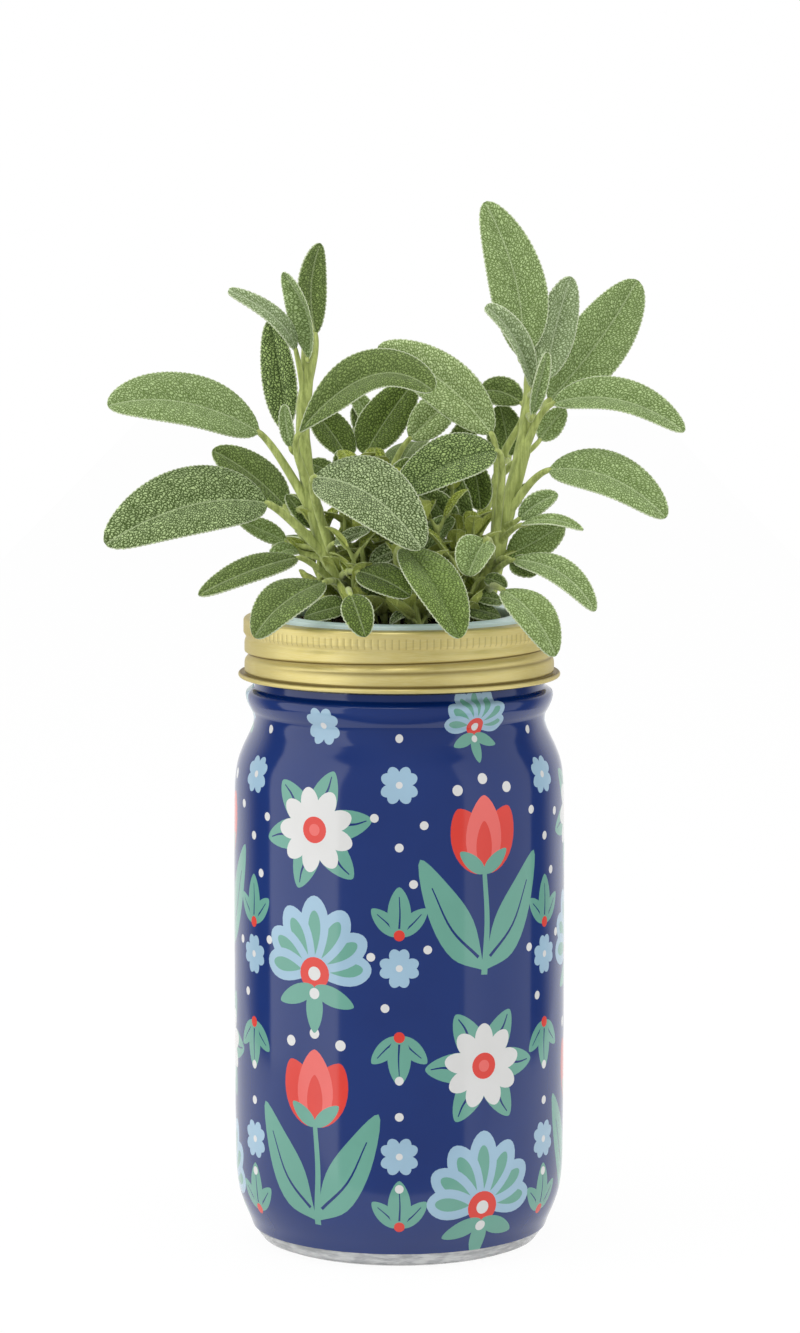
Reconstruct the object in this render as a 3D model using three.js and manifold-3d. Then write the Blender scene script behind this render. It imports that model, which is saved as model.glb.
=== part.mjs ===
// Herb garden jar: a wide-mouth glass jar in a printed sleeve, a wick-fed cup and a sage plant.
// Millimetres, Z up. The jar stands on Z = 0 and its axis is the Z axis. The front faces -Y.
import * as THREE from 'three';
import { mergeVertices } from 'three/addons/utils/BufferGeometryUtils.js';
import Module from 'manifold-3d';

const wasm = await Module();
wasm.setup();

// Clearances
const GAP = 0.3; // between neighbours that only touch
const SLEEVE_GAP = 0.15; // film to glass
const THREAD_CLEAR = 0.37; // glass thread crest to the band's rolled groove
const SEAL_CLEAR = 1.75; // seal ring to the band's inside

// Jar
const BODY_R = 45.55;
const RIM_Z = 172;
const NECK_STEP = 5.85; // neck radius is this much less than the body
const HEEL_STEP = 9.35; // base ring is this much less than the body
const HEEL_H = 26;
const NECK_H = 18.3; // bead to rim
const BEAD_H = 5.9; // half height, waist to crest
const BEAD_OUT = 2.65;
const SHOULDER_H = 21.8;
const WALL = 3.4;
const NECK_WALL = 3;
const FLOOR_Z = 7;
const BASE_RING_WIDTH = 5.2;
const KICK_Z = 2.2;
const RIM_ROUND = 0.6;

// Sleeve
const SLEEVE_T = 0.35;
const SLEEVE_BARE = 4.6; // bare glass at the base

// Screw band
const SHEET_T = 0.45;
const BAND_H = 16.7;
const BAND_LIP = 5.4;
const CURL_OUT = 1.5;
const CURL_H = 2;
const KNURL_H = 4.4;
const PINCH_H = 0.8;
const BAND_ROUND = 0.9;
const THREAD_LEAD = 5.08;
const THREAD_H = 1.53;
const THREAD_R = 1.2;
const THREAD_OVER_GROOVE = 2.6;
const GROOVE_DEPTH = 1.35;
const GROOVE_SPREAD = 1.15;
const GROOVE_DOWN = 10.75; // band top to the groove at the left side of the jar
const SKIRT_IN = 0.25;
const GROOVE_TURNS = [0.2, 1.25]; // counted from the right side
const THREAD_TURNS = [0.12, 1.08];

// Seal ring
const SEAL_T = 1.4;
const SEAL_LIP_W = 6.5;
const SEAL_LIP_H = 0.95; // stands above the band's top
const SEAL_ROUND = 0.4;

// Cup
const FLANGE_T = 1.2;
const CUP_WALL = 1.3;
const CUP_CLEAR = 0.2;
const CUP_DEPTH = 68;
const CUP_TAPER = 6;
const CUP_FLOOR_T = 2;
const SLOT_COUNT = 8;
const SLOT_TIERS = 2;
const SLOT_W = 4;
const SLOT_BRIDGE = 5;
const SLOT_FOOT = 9;
const SLOT_HEAD = 10;
const BAR_W = 6;
const FLOOR_SLOT_W = 3.2;

// Wick
const WICK_T = 1.6;
const WICK_W = 22;
const WICK_SIDE = 1;
const WICK_FLOOR_GAP = 1;

// Plug and plant
const PLUG_DOME = 0.8;
const PLUG_DOWN = 2.3; // plug's shoulder below the seal ring's top
const PLUG_ROUND = 1.3;
const MAIN_STEM_R = 1.6;
const SIDE_STEM_R = 1.2;
const PETIOLE_R = 0.9;
const LEAF_T = 0.9;
const LEAF_FOLD = 0.1; // share of half the width

// Facets
const TURN_SIDES = 40;
const PLUG_SIDES = 32;
const SKIRT_ROWS = 11;
const PETIOLE_STEPS = [0, 0.3, 0.65];
const BLADE_STEPS = [0.04, 0.16, 0.34, 0.55, 0.76, 0.93];

// Derived radii
const NECK_R = BODY_R - NECK_STEP;
const CREST_R = NECK_R + THREAD_H;
const BAND_R = CREST_R + THREAD_CLEAR + GROOVE_DEPTH + SHEET_T;
const BAND_MOUTH_R = BAND_R - BAND_LIP;
const SEAL_R = BAND_R - SHEET_T - SEAL_CLEAR;
const SEAL_MOUTH_R = BAND_MOUTH_R - SEAL_LIP_W;
const CUP_R = SEAL_MOUTH_R + CUP_CLEAR + CUP_WALL;
const PLUG_R = SEAL_MOUTH_R - GAP;

// Derived heights
const BEAD_Z = RIM_Z - NECK_H;
const WAIST_Z = BEAD_Z - BEAD_H;
const BODY_TOP = WAIST_Z - SHOULDER_H;
const FLANGE_Z = RIM_Z + GAP;
const SEAL_Z = FLANGE_Z + FLANGE_T + GAP;
const BAND_TOP = SEAL_Z + SEAL_T + GAP + SHEET_T;
const BAND_BOTTOM = BAND_TOP - BAND_H;
const SEAL_TOP = BAND_TOP + SEAL_LIP_H;
const CUP_BOTTOM = FLANGE_Z - CUP_DEPTH;
const CUP_FLOOR_TOP = CUP_BOTTOM + CUP_FLOOR_T;
const WICK_TOP = CUP_FLOOR_TOP + GAP + WICK_T;
const PLUG_TOP = SEAL_TOP - PLUG_DOWN;

// Leaf and stem positions are drawn for a plug of radius 31.2 and follow its size.
const PLANT_UNIT = PLUG_R / 31.2;

// A closed body from points and triangles, turned to face out.
function solid(points, faces) {
  let volume = 0;
  for (const [a, b, c] of faces) {
    volume += points[a].dot(points[b].clone().cross(points[c]));
  }
  const order = volume < 0 ? [0, 2, 1] : [0, 1, 2];
  const geometry = new THREE.BufferGeometry();
  const places = points.flatMap((point) => point.toArray());
  geometry.setAttribute('position', new THREE.Float32BufferAttribute(places, 3));
  geometry.setIndex(faces.flatMap((face) => order.map((k) => face[k])));
  geometry.computeVertexNormals();
  return geometry;
}

// Skin over a row of rings; the row closes on itself or gets a cap at each end.
function loft(rings, closes) {
  const count = rings[0].length;
  const points = rings.flat();
  const faces = [];
  const spans = closes ? rings.length : rings.length - 1;
  for (let i = 0; i < spans; i += 1) {
    const here = i * count;
    const next = ((i + 1) % rings.length) * count;
    for (let j = 0; j < count; j += 1) {
      const k = (j + 1) % count;
      faces.push([here + j, here + k, next + k], [here + j, next + k, next + j]);
    }
  }
  if (!closes) {
    const last = (rings.length - 1) * count;
    const ends = [rings[0], rings.at(-1)].map((ring) => {
      const middle = new THREE.Vector3();
      ring.forEach((point) => middle.add(point));
      return points.push(middle.divideScalar(count)) - 1;
    });
    for (let j = 0; j < count; j += 1) {
      const k = (j + 1) % count;
      faces.push([ends[0], k, j], [ends[1], last + j, last + k]);
    }
  }
  return solid(points, faces);
}

// Ring-shaped body from a closed outline of [radius, height]; shift moves radii by angle and height.
function turnedRing(outline, shift = () => 0) {
  const rings = [];
  for (let i = 0; i < TURN_SIDES; i += 1) {
    const turn = i / TURN_SIDES;
    const angle = turn * 2 * Math.PI;
    rings.push(outline.map(([radius, z]) => {
      const r = radius + shift(turn, z);
      return new THREE.Vector3(r * Math.cos(angle), r * Math.sin(angle), z);
    }));
  }
  return loft(rings, true);
}

// Full body from an outline that starts and ends on the axis.
function turned(outline, sides) {
  const profile = outline.map(([radius, z]) => new THREE.Vector2(radius, z));
  const geometry = new THREE.LatheGeometry(profile, sides, Math.PI / 2);
  return geometry.rotateX(Math.PI / 2);
}

function toManifold(geometry) {
  const bare = new THREE.BufferGeometry();
  bare.setAttribute('position', geometry.getAttribute('position'));
  if (geometry.getIndex()) bare.setIndex(geometry.getIndex());
  const merged = mergeVertices(bare, 1e-4);
  const mesh = new wasm.Mesh({
    numProp: 3,
    vertProperties: new Float32Array(merged.getAttribute('position').array),
    triVerts: new Uint32Array(merged.getIndex().array),
  });
  mesh.merge();
  return new wasm.Manifold(mesh);
}

function fromManifold(body) {
  const mesh = body.getMesh();
  const geometry = new THREE.BufferGeometry();
  const places = new Float32Array(mesh.vertProperties);
  geometry.setAttribute('position', new THREE.BufferAttribute(places, 3));
  geometry.setIndex(new THREE.BufferAttribute(new Uint32Array(mesh.triVerts), 1));
  geometry.computeVertexNormals();
  return geometry;
}

const welded = (geometry) => fromManifold(toManifold(geometry));
const joined = (list) => fromManifold(wasm.Manifold.union(list.map(toManifold)));
const cut = (body, tools) => fromManifold(
  toManifold(body).subtract(wasm.Manifold.union(tools.map(toManifold))),
);

// An outline moved outward along its own normals.
function offset(outline, distance) {
  return outline.map(([radius, z], i) => {
    const before = outline[Math.max(i - 1, 0)];
    const after = outline[Math.min(i + 1, outline.length - 1)];
    const along = new THREE.Vector2(after[0] - before[0], after[1] - before[1]).normalize();
    return [radius + along.y * distance, z - along.x * distance];
  });
}

const group = new THREE.Group();
group.name = 'herb_garden_jar';

function add(name, geometry, color, roughness, metalness = 0) {
  const material = new THREE.MeshStandardMaterial({ color, roughness, metalness });
  const mesh = new THREE.Mesh(geometry, material);
  mesh.name = name;
  group.add(mesh);
  return mesh;
}

// Glass jar: heel, straight body, shoulder, waist, neck bead, threaded neck, open rim.
const heel = [
  [0.743, 0.035], [0.551, 0.131], [0.422, 0.254], [0.262, 0.385], [0.102, 0.558], [0.027, 0.75], [0, 1],
].map(([inset, height]) => [BODY_R - HEEL_STEP * inset, HEEL_H * height]);
const shoulder = [
  [0, 0], [0.04, 0.23], [0.16, 0.436], [0.385, 0.606], [0.675, 0.77], [0.88, 0.9],
].map(([inset, height]) => [BODY_R - NECK_STEP * inset, BODY_TOP + SHOULDER_H * height]);
const neckBead = [
  [0.15, -1], [0.38, -0.56], [0.87, -0.254], [1, 0], [0.87, 0.254], [0.38, 0.54], [0.11, 0.8],
].map(([out, height]) => [NECK_R + BEAD_OUT * out, BEAD_Z + BEAD_H * height]);
const neck = [
  [NECK_R, BEAD_Z + BEAD_H * 1.15], [NECK_R, RIM_Z - RIM_ROUND], [NECK_R - RIM_ROUND, RIM_Z],
];
const innerNeckR = NECK_R - NECK_WALL;
const innerBodyR = BODY_R - WALL;
const innerStep = innerBodyR - innerNeckR;
const inside = [
  [innerNeckR + RIM_ROUND, RIM_Z], [innerNeckR, RIM_Z - RIM_ROUND], [innerNeckR, WAIST_Z],
  [innerBodyR - innerStep * 0.62, BODY_TOP + SHOULDER_H * 0.7],
  [innerBodyR - innerStep * 0.17, BODY_TOP + SHOULDER_H * 0.436], [innerBodyR, BODY_TOP],
  [innerBodyR, HEEL_H], [innerBodyR - HEEL_STEP * 0.15, HEEL_H * 0.62],
  [innerBodyR - HEEL_STEP * 0.53, FLOOR_Z + (HEEL_H - FLOOR_Z) * 0.085],
  [innerBodyR - HEEL_STEP * 1.3, FLOOR_Z], [0, FLOOR_Z],
];
const baseRingR = BODY_R - HEEL_STEP;
const base = [
  [0, KICK_Z], [baseRingR - BASE_RING_WIDTH * 1.77, KICK_Z * 0.8], [baseRingR - BASE_RING_WIDTH, 0],
  [baseRingR, 0],
];
const glassBody = turned([...base, ...heel, ...shoulder, ...neckBead, ...neck, ...inside], TURN_SIDES);

const grooveZ = (turn) => BAND_TOP - GROOVE_DOWN + THREAD_LEAD * (turn - 0.5);
const threadPath = new THREE.CatmullRomCurve3(Array.from({ length: TURN_SIDES }, (_, i) => {
  const turn = THREE.MathUtils.lerp(...THREAD_TURNS, i / (TURN_SIDES - 1));
  const angle = turn * 2 * Math.PI;
  const r = CREST_R - THREAD_R;
  return new THREE.Vector3(r * Math.cos(angle), r * Math.sin(angle), grooveZ(turn) + THREAD_OVER_GROOVE);
}));

// Round bar along a path.
function rod(path, radius, sides, steps) {
  const disc = new THREE.Shape();
  for (let i = 0; i < sides; i += 1) {
    const angle = (i / sides) * 2 * Math.PI;
    const place = [radius * Math.cos(angle), radius * Math.sin(angle)];
    if (i === 0) disc.moveTo(...place);
    else disc.lineTo(...place);
  }
  disc.closePath();
  return new THREE.ExtrudeGeometry(disc, { steps, extrudePath: path, curveSegments: 1 });
}

const threadRidge = rod(threadPath, THREAD_R, 6, TURN_SIDES);
add('glass_jar', joined([glassBody, threadRidge]), 0xe4eef0, 0.05);

// Printed sleeve: film on the outside of the glass from the heel to just under the band.
const glassSide = [...heel, ...shoulder, ...neckBead];
const above = glassSide.findIndex(([, z]) => z > SLEEVE_BARE);
const [lower, upper] = [glassSide[above - 1], glassSide[above]];
const share = (SLEEVE_BARE - lower[1]) / (upper[1] - lower[1]);
const hem = [THREE.MathUtils.lerp(lower[0], upper[0], share), SLEEVE_BARE];
const film = [hem, ...glassSide.slice(above)];
const sleeveOutline = [
  ...offset(film, SLEEVE_GAP + SLEEVE_T), ...offset(film, SLEEVE_GAP).reverse(),
];
add('printed_sleeve', turnedRing(sleeveOutline), 0x24397a, 0.25);

// Screw band: rolled sheet with a curled foot, a helical groove and an open top.
const skirtFoot = BAND_BOTTOM + CURL_H * 1.35;
const skirtHead = BAND_TOP - KNURL_H - PINCH_H * 2;
const skirt = Array.from({ length: SKIRT_ROWS }, (_, i) => [
  BAND_R - SKIRT_IN, THREE.MathUtils.lerp(skirtFoot, skirtHead, i / (SKIRT_ROWS - 1)),
]);
const curl = [[0.2, 0], [0.8, 0.15], [1, 0.5], [0.8, 0.85], [-0.33, 1]].map(
  ([out, height]) => [BAND_R + CURL_OUT * out, BAND_BOTTOM + CURL_H * height],
);
const pinch = [BAND_R - PINCH_H, BAND_TOP - KNURL_H - PINCH_H];
const bandOutside = [
  ...curl, ...skirt, pinch, [BAND_R, BAND_TOP - KNURL_H], [BAND_R, BAND_TOP - BAND_ROUND],
  [BAND_R - BAND_ROUND, BAND_TOP], [BAND_MOUTH_R, BAND_TOP],
];
const footIn = BAND_R - CURL_OUT * 0.33 - SHEET_T;
const bandInside = [
  [BAND_MOUTH_R, BAND_TOP - SHEET_T], [BAND_R - BAND_ROUND - SHEET_T / 2, BAND_TOP - SHEET_T],
  [BAND_R - SHEET_T, BAND_TOP - BAND_ROUND - SHEET_T / 2], [BAND_R - SHEET_T, BAND_TOP - KNURL_H],
  [pinch[0] - SHEET_T, pinch[1]], ...skirt.map(([r, z]) => [r - SHEET_T, z]).reverse(),
  [footIn, BAND_BOTTOM + CURL_H], [footIn, BAND_BOTTOM + CURL_H * 0.15],
];

// How deep the rolled groove is at one place of the skirt.
function groove(turn, z) {
  if (z < skirtFoot || z > skirtHead) return 0;
  const [from, to] = GROOVE_TURNS;
  let depth = 0;
  for (const lap of [0, 1]) {
    const place = turn + lap;
    const fade = THREE.MathUtils.smoothstep(place, from - 0.05, from + 0.1)
      * (1 - THREE.MathUtils.smoothstep(place, to - 0.1, to + 0.05));
    const away = (z - grooveZ(place)) / GROOVE_SPREAD;
    depth = Math.max(depth, fade * Math.exp(-away * away));
  }
  return -(GROOVE_DEPTH - SKIRT_IN) * depth;
}
add('screw_band', turnedRing([...bandOutside, ...bandInside], groove), 0xcdb565, 0.3, 1);

// Seal ring: stepped ring under the band's lip, its inner part stands up through the band's mouth.
const lipR = BAND_MOUTH_R - GAP * 2;
const sealOutline = [
  [SEAL_MOUTH_R, SEAL_Z], [SEAL_R, SEAL_Z], [SEAL_R, SEAL_Z + SEAL_T], [lipR, SEAL_Z + SEAL_T],
  [lipR, SEAL_TOP - SEAL_ROUND], [lipR - SEAL_ROUND, SEAL_TOP],
  [SEAL_MOUTH_R + SEAL_ROUND, SEAL_TOP], [SEAL_MOUTH_R, SEAL_TOP - SEAL_ROUND],
];
add('seal_ring', turnedRing(sealOutline), 0xbfd6de, 0.45);

// Net cup: tapered basket hung by its flange, slotted wall and a floor bar for the wick.
const cupFootR = CUP_R - CUP_TAPER;
const cupOutline = [
  [0, CUP_BOTTOM], [cupFootR, CUP_BOTTOM], [CUP_R, FLANGE_Z], [SEAL_R, FLANGE_Z],
  [SEAL_R, FLANGE_Z + FLANGE_T], [CUP_R - CUP_WALL, FLANGE_Z + FLANGE_T],
  [cupFootR - CUP_WALL, CUP_FLOOR_TOP], [0, CUP_FLOOR_TOP],
];
const slotH = (CUP_DEPTH - SLOT_FOOT - SLOT_HEAD - SLOT_BRIDGE * (SLOT_TIERS - 1)) / SLOT_TIERS;
const cupCuts = [];
for (let tier = 0; tier < SLOT_TIERS; tier += 1) {
  for (let i = 0; i < SLOT_COUNT; i += 1) {
    const slot = new THREE.BoxGeometry(CUP_TAPER * 3, SLOT_W, slotH);
    slot.translate(cupFootR, 0, CUP_BOTTOM + SLOT_FOOT + slotH / 2 + tier * (slotH + SLOT_BRIDGE));
    slot.rotateZ(((i + tier / 2) / SLOT_COUNT) * 2 * Math.PI);
    cupCuts.push(slot);
  }
}
for (const side of [-1, 1]) {
  const slot = new THREE.BoxGeometry(WICK_W + WICK_SIDE * 2, FLOOR_SLOT_W, CUP_FLOOR_T * 3);
  slot.translate(0, side * (BAR_W + FLOOR_SLOT_W) / 2, CUP_BOTTOM);
  cupCuts.push(slot);
}
add('net_cup', cut(turned(cupOutline, TURN_SIDES), cupCuts), 0x2b2f30, 0.55);

// Wick: felt strip folded over the floor bar, two tails hanging to the jar floor.
const wickIn = BAR_W / 2 + GAP;
const wickOut = wickIn + WICK_T;
const wickFoot = FLOOR_Z + WICK_FLOOR_GAP;
const wickBend = WICK_T * 0.6;
const strip = new THREE.Shape([
  [-wickOut, wickFoot], [-wickIn, wickFoot], [-wickIn, WICK_TOP - WICK_T], [wickIn, WICK_TOP - WICK_T],
  [wickIn, wickFoot], [wickOut, wickFoot], [wickOut, WICK_TOP - wickBend],
  [wickOut - wickBend, WICK_TOP], [wickBend - wickOut, WICK_TOP], [-wickOut, WICK_TOP - wickBend],
].map(([across, z]) => new THREE.Vector2(across, z)));
const wick = new THREE.ExtrudeGeometry(strip, { depth: WICK_W, bevelEnabled: false });
wick.translate(0, 0, -WICK_W / 2);
wick.rotateX(Math.PI / 2);
wick.rotateZ(Math.PI / 2);
add('wick', welded(wick), 0xe9e6dc, 0.95);

// Growing plug: coir that fills the cup, slightly domed on top.
const plugFoot = WICK_TOP + GAP;
const plugFootR = PLUG_R - CUP_TAPER * (FLANGE_Z - plugFoot) / CUP_DEPTH;
const plugOutline = [
  [0, plugFoot], [plugFootR - GAP, plugFoot], [PLUG_R - GAP / 3, FLANGE_Z],
  [PLUG_R - GAP / 3, PLUG_TOP - PLUG_ROUND], [PLUG_R - PLUG_ROUND, PLUG_TOP],
  [0, PLUG_TOP + PLUG_DOME],
];
add('growing_plug', welded(turned(plugOutline, PLUG_SIDES)), 0x3a2a1e, 1);

// A place of the plant: [right, back, up] counted from the middle of the plug's top.
const place = ([x, y, z]) => new THREE.Vector3(x, y, z).multiplyScalar(PLANT_UNIT)
  .setZ(z * PLANT_UNIT + PLUG_TOP);

// Stems: each has a foot on the plug and a path upward.
const stems = {
  left: [[-10.5, -6], [-16.5, -8, 13.5], [-21, -8, 23], [-24.5, -7, 35.5],
    [-26.5, -5, 48], [-26.5, -3, 59], [-25.5, -1, 68.5], [-26.5, 0, 79]],
  right: [[22, -4], [25, -6, 13], [27.5, -6, 23], [30.5, -5, 34],
    [33.5, -4, 45], [35.5, -2, 56], [36.5, 0, 65.5], [36, 2, 74.5]],
  front: [[3, -14], [2.5, -16, 10], [0, -18, 15.5]],
  back: [[-1, 12], [-2.5, 16, 16], [-6, 18, 33], [-8, 18, 43.5]],
  rear_right: [[11.5, 12], [19.5, 16, 16], [25.5, 18, 33], [29.5, 18, 45.5]],
  rear_left: [[-9.5, 10], [-14, 14, 16], [-16, 16, 33], [-16.5, 16, 41.5]],
};
const stemOf = {};
for (const [name, [[x, y], ...way]] of Object.entries(stems)) {
  const radius = way.length > 4 ? MAIN_STEM_R : SIDE_STEM_R;
  const seat = place([x, y, 0]);
  seat.z += PLUG_DOME * (1 - Math.hypot(seat.x, seat.y) / (PLUG_R - PLUG_ROUND)) + GAP;
  const rise = seat.clone().setZ(seat.z + radius);
  const path = new THREE.CatmullRomCurve3([seat, rise, ...way.map(place)]);
  stemOf[name] = { path, radius };
  add(`stem_${name}`, welded(rod(path, radius, 8, way.length * 2 + 4)), 0x9caf6a, 0.7);
}

// Blade width along the leaf, 0 at the base and 1 at the tip.
const bladeWidth = (t) => Math.sin(Math.PI * t ** 0.85) ** 0.6;

// One ring of leaf skin across its path, its width along one side.
function leafRing(middle, along, side, halfWidth, halfThick) {
  const up = side.clone().cross(along).normalize();
  const corners = [
    [-1, 0], [-0.5, 1], [0, 1], [0.5, 1], [1, 0], [0.5, -1], [0, -1], [-0.5, -1],
  ];
  return corners.map(([u, v]) => {
    const rise = v * halfThick * (1 - 0.4 * Math.abs(u)) + LEAF_FOLD * Math.abs(u) * halfWidth;
    return middle.clone().addScaledVector(side, u * halfWidth).addScaledVector(up, rise);
  });
}

// One leaf: a petiole from its stem, then a blade from root through middle to tip.
function leaf(name, on, at, rootAt, middleAt, tipAt, width, faceTo) {
  const [root, middle, tip] = [rootAt, middleAt, tipAt].map(place);
  const face = new THREE.Vector3(...faceTo);
  const bend = middle.clone().multiplyScalar(2).addScaledVector(root, -0.5).addScaledVector(tip, -0.5);
  const blade = new THREE.QuadraticBezierCurve3(root, bend, tip);
  const stem = stemOf[on];
  const node = stem.path.getPoint(at);
  const grain = stem.path.getTangent(at);
  const out = root.clone().sub(node);
  out.addScaledVector(grain, -out.dot(grain)).normalize();
  const foot = node.addScaledVector(out, stem.radius + GAP);
  const reach = foot.distanceTo(root) / 3;
  const petiole = new THREE.CubicBezierCurve3(
    foot, foot.clone().addScaledVector(out, reach),
    root.clone().addScaledVector(blade.getTangent(0), -reach), root,
  );
  const across = (along) => along.clone().cross(face).normalize();
  const rings = [];
  const side = across(blade.getTangent(0));
  for (const t of [...PETIOLE_STEPS].reverse()) {
    const along = petiole.getTangent(t);
    side.addScaledVector(along, -side.dot(along)).normalize();
    rings.unshift(leafRing(petiole.getPoint(t), along, side, PETIOLE_R, PETIOLE_R));
  }
  for (const t of BLADE_STEPS) {
    const halfWidth = Math.max(width * PLANT_UNIT / 2 * bladeWidth(t), PETIOLE_R);
    const along = blade.getTangent(t);
    rings.push(leafRing(blade.getPoint(t), along, across(along), halfWidth, LEAF_T / 2));
  }
  const end = blade.getTangent(1);
  rings.push(leafRing(tip, end, across(end), LEAF_T / 2, LEAF_T / 3));
  add(`leaf_${name}`, loft(rings, false), 0x7c9562, 0.8);
}

// Left side, from the top down
leaf('left_top', 'left', 0.86, [-23, 6, 79.5], [-24, 9, 92.5], [-22.5, 12, 104.5], 9.3, [0.35, -0.9, 0.1]);
leaf('left_top_fold', 'left', 0.99, [-25, -3, 81.5], [-27.5, -5, 88.5], [-32.5, -4, 96.5],
  7, [-0.7, -0.7, 0.1]);
leaf('left_top_curl', 'left', 0.93, [-29, -5, 75.5], [-34.5, -10, 84], [-46.5, -12, 90.5],
  6.5, [0.2, -0.8, 0.6]);
leaf('left_upright', 'left', 0.63, [-31.5, 0, 53], [-33.5, 4, 68.5], [-36, 6, 83.5],
  10, [-0.25, -0.95, 0.1]);
leaf('left_bud', 'left', 0.6, [-30, -10, 49], [-31, -12, 55], [-31.5, -13, 61],
  4.2, [-0.2, -0.95, 0.1]);
leaf('left_low', 'left', 0.53, [-38.5, -9, 53], [-59, -18, 61.5], [-79.2, -24, 60.5],
  16, [0.1, -0.8, 0.6]);
leaf('left_rear', 'left', 0.46, [-32, 6, 32], [-41.5, 12, 41], [-52.5, 14, 47],
  13, [0.25, -0.8, 0.55]);
leaf('left_mid', 'left', 0.38, [-36.5, -14, 33.5], [-57, -26, 34], [-79, -32, 23.5],
  20, [0.05, -0.8, 0.6]);
leaf('left_small', 'left', 0.34, [-31.5, 0, 22], [-38, -1, 25.5], [-45, -3, 28.5], 7, [0.1, -0.8, 0.6]);
leaf('left_curl', 'left', 0.3, [-28, -6, 20], [-32, -10, 20.5], [-36, -12, 16.5],
  6.5, [-0.1, -0.7, 0.7]);
leaf('left_flat', 'left', 0.27, [-28, -18, 17.5], [-40.5, -30, 15], [-53.5, -36, 9],
  9, [0.1, -0.7, 0.7]);
leaf('left_droop', 'left', 0.21, [-21, -29, 13], [-32, -42, 9], [-39.5, -44, -0.5],
  13.5, [-0.35, -0.85, 0.4]);

// Middle
leaf('arch_front', 'left', 0.7, [-25.5, -12, 58], [-9, -24, 71.5], [9, -30, 66.5],
  14, [0.15, -0.8, 0.6]);
leaf('arch_rear', 'right', 0.6, [25.5, 2, 52.5], [12.5, 6, 68], [-4, 10, 76.5],
  15.5, [-0.35, -0.85, 0.4]);
leaf('mid_dark', 'back', 0.93, [-8, 22, 46.5], [-1.5, 26, 54.5], [7, 28, 64], 13, [-0.35, -0.9, 0.2]);
leaf('mid_dark_left', 'rear_left', 0.93, [-14.5, 20, 45], [-19, 24, 52.5], [-25, 26, 58.5],
  11, [0.5, -0.85, 0.2]);
leaf('mid_pale', 'back', 0.98, [2, 20, 49.5], [9, 20, 56.5], [15, 20, 63.5], 9, [-0.1, -0.95, 0.2]);
leaf('mid_right', 'right', 0.51, [26.5, -16, 48.5], [13, -24, 46], [-1, -28, 37],
  14.8, [-0.05, -0.85, 0.5]);
leaf('front_big', 'left', 0.44, [-23, -20, 40.5], [-7.5, -36, 37], [7, -42, 22.5],
  20.2, [0.2, -0.9, 0.4]);
leaf('front_tuft', 'left', 0.32, [-18, -15, 23], [-13, -19, 25.5], [-8, -23, 27],
  5, [-0.1, -0.8, 0.6]);
leaf('front_low', 'left', 0.24, [-12, -25, 15], [-4.5, -36, 14], [3, -40, 10],
  10, [0.1, -0.9, 0.4]);
leaf('front_droop', 'front', 0.93, [0.5, -30, 21], [9.3, -46, 13.5], [16, -52, 0.5],
  14, [0.35, -0.9, 0.3]);
leaf('front_small', 'left', 0.17, [-13, -44, 11.5], [-11, -50, 7], [-9, -52, 1],
  8.5, [0, -0.95, 0.3]);
leaf('heart', 'right', 0.27, [22.5, -30, 25], [19.5, -36, 21.5], [18, -38, 16],
  11, [-0.2, -0.95, 0.2]);

// Right side, from the top down
leaf('right_tall', 'right', 0.96, [33.5, -4, 73.5], [32, -2, 94], [23.5, 4, 116],
  16.5, [0.1, -1, 0.1]);
leaf('right_pale', 'right', 0.88, [40.5, -2, 67.5], [43.5, 0, 82], [47.5, 2, 95.5],
  11.5, [0.2, -0.95, 0.1]);
leaf('right_wide', 'right', 0.79, [42, 10, 61], [57, 16, 77.5], [68, 22, 94], 17.5, [0, -1, 0.1]);
leaf('right_curl', 'right', 0.83, [36.5, -12, 65.5], [31, -18, 79], [23.5, -18, 88],
  7, [0.6, -0.75, 0.1]);
leaf('right_bud', 'right', 0.76, [36.5, -14, 58], [38.5, -17.5, 67], [40.5, -17.5, 75.5],
  4.5, [0.3, -0.9, 0.1]);
leaf('right_arch', 'right', 0.65, [42.5, -8, 61.5], [59.8, -14, 63.5], [77.4, -18, 54],
  11.5, [0.1, -0.75, 0.7]);
leaf('right_low', 'right', 0.46, [41, -10, 42.5], [57, -20, 41.3], [71.5, -26, 30],
  13, [0.15, -0.8, 0.55]);
leaf('right_twig_up', 'right', 0.41, [33, -12, 29.5], [38, -16, 34], [43.5, -18, 36.5],
  6.5, [0, -0.9, 0.4]);
leaf('right_twig', 'right', 0.36, [33.5, -16, 27.5], [41.5, -24, 29], [50, -28, 27],
  5.5, [0, -0.7, 0.7]);
leaf('right_dark', 'right', 0.29, [30, -4, 18], [38.5, -6, 22.5], [45.5, -8, 27],
  9.5, [0.1, -0.9, 0.4]);
leaf('right_flat', 'right', 0.24, [31.5, -20, 17.5], [43.5, -34, 15], [53, -40, 5.5],
  9.5, [0.15, -0.85, 0.5]);
leaf('right_tiny', 'right', 0.27, [36, -18, 13], [40, -22, 12.5], [44, -24, 9.5], 6, [0.2, -0.8, 0.5]);
leaf('right_droop', 'right', 0.2, [27.5, -34, 13], [36, -44, 6.5], [42, -44, -5],
  12, [0.35, -0.85, 0.4]);

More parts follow.
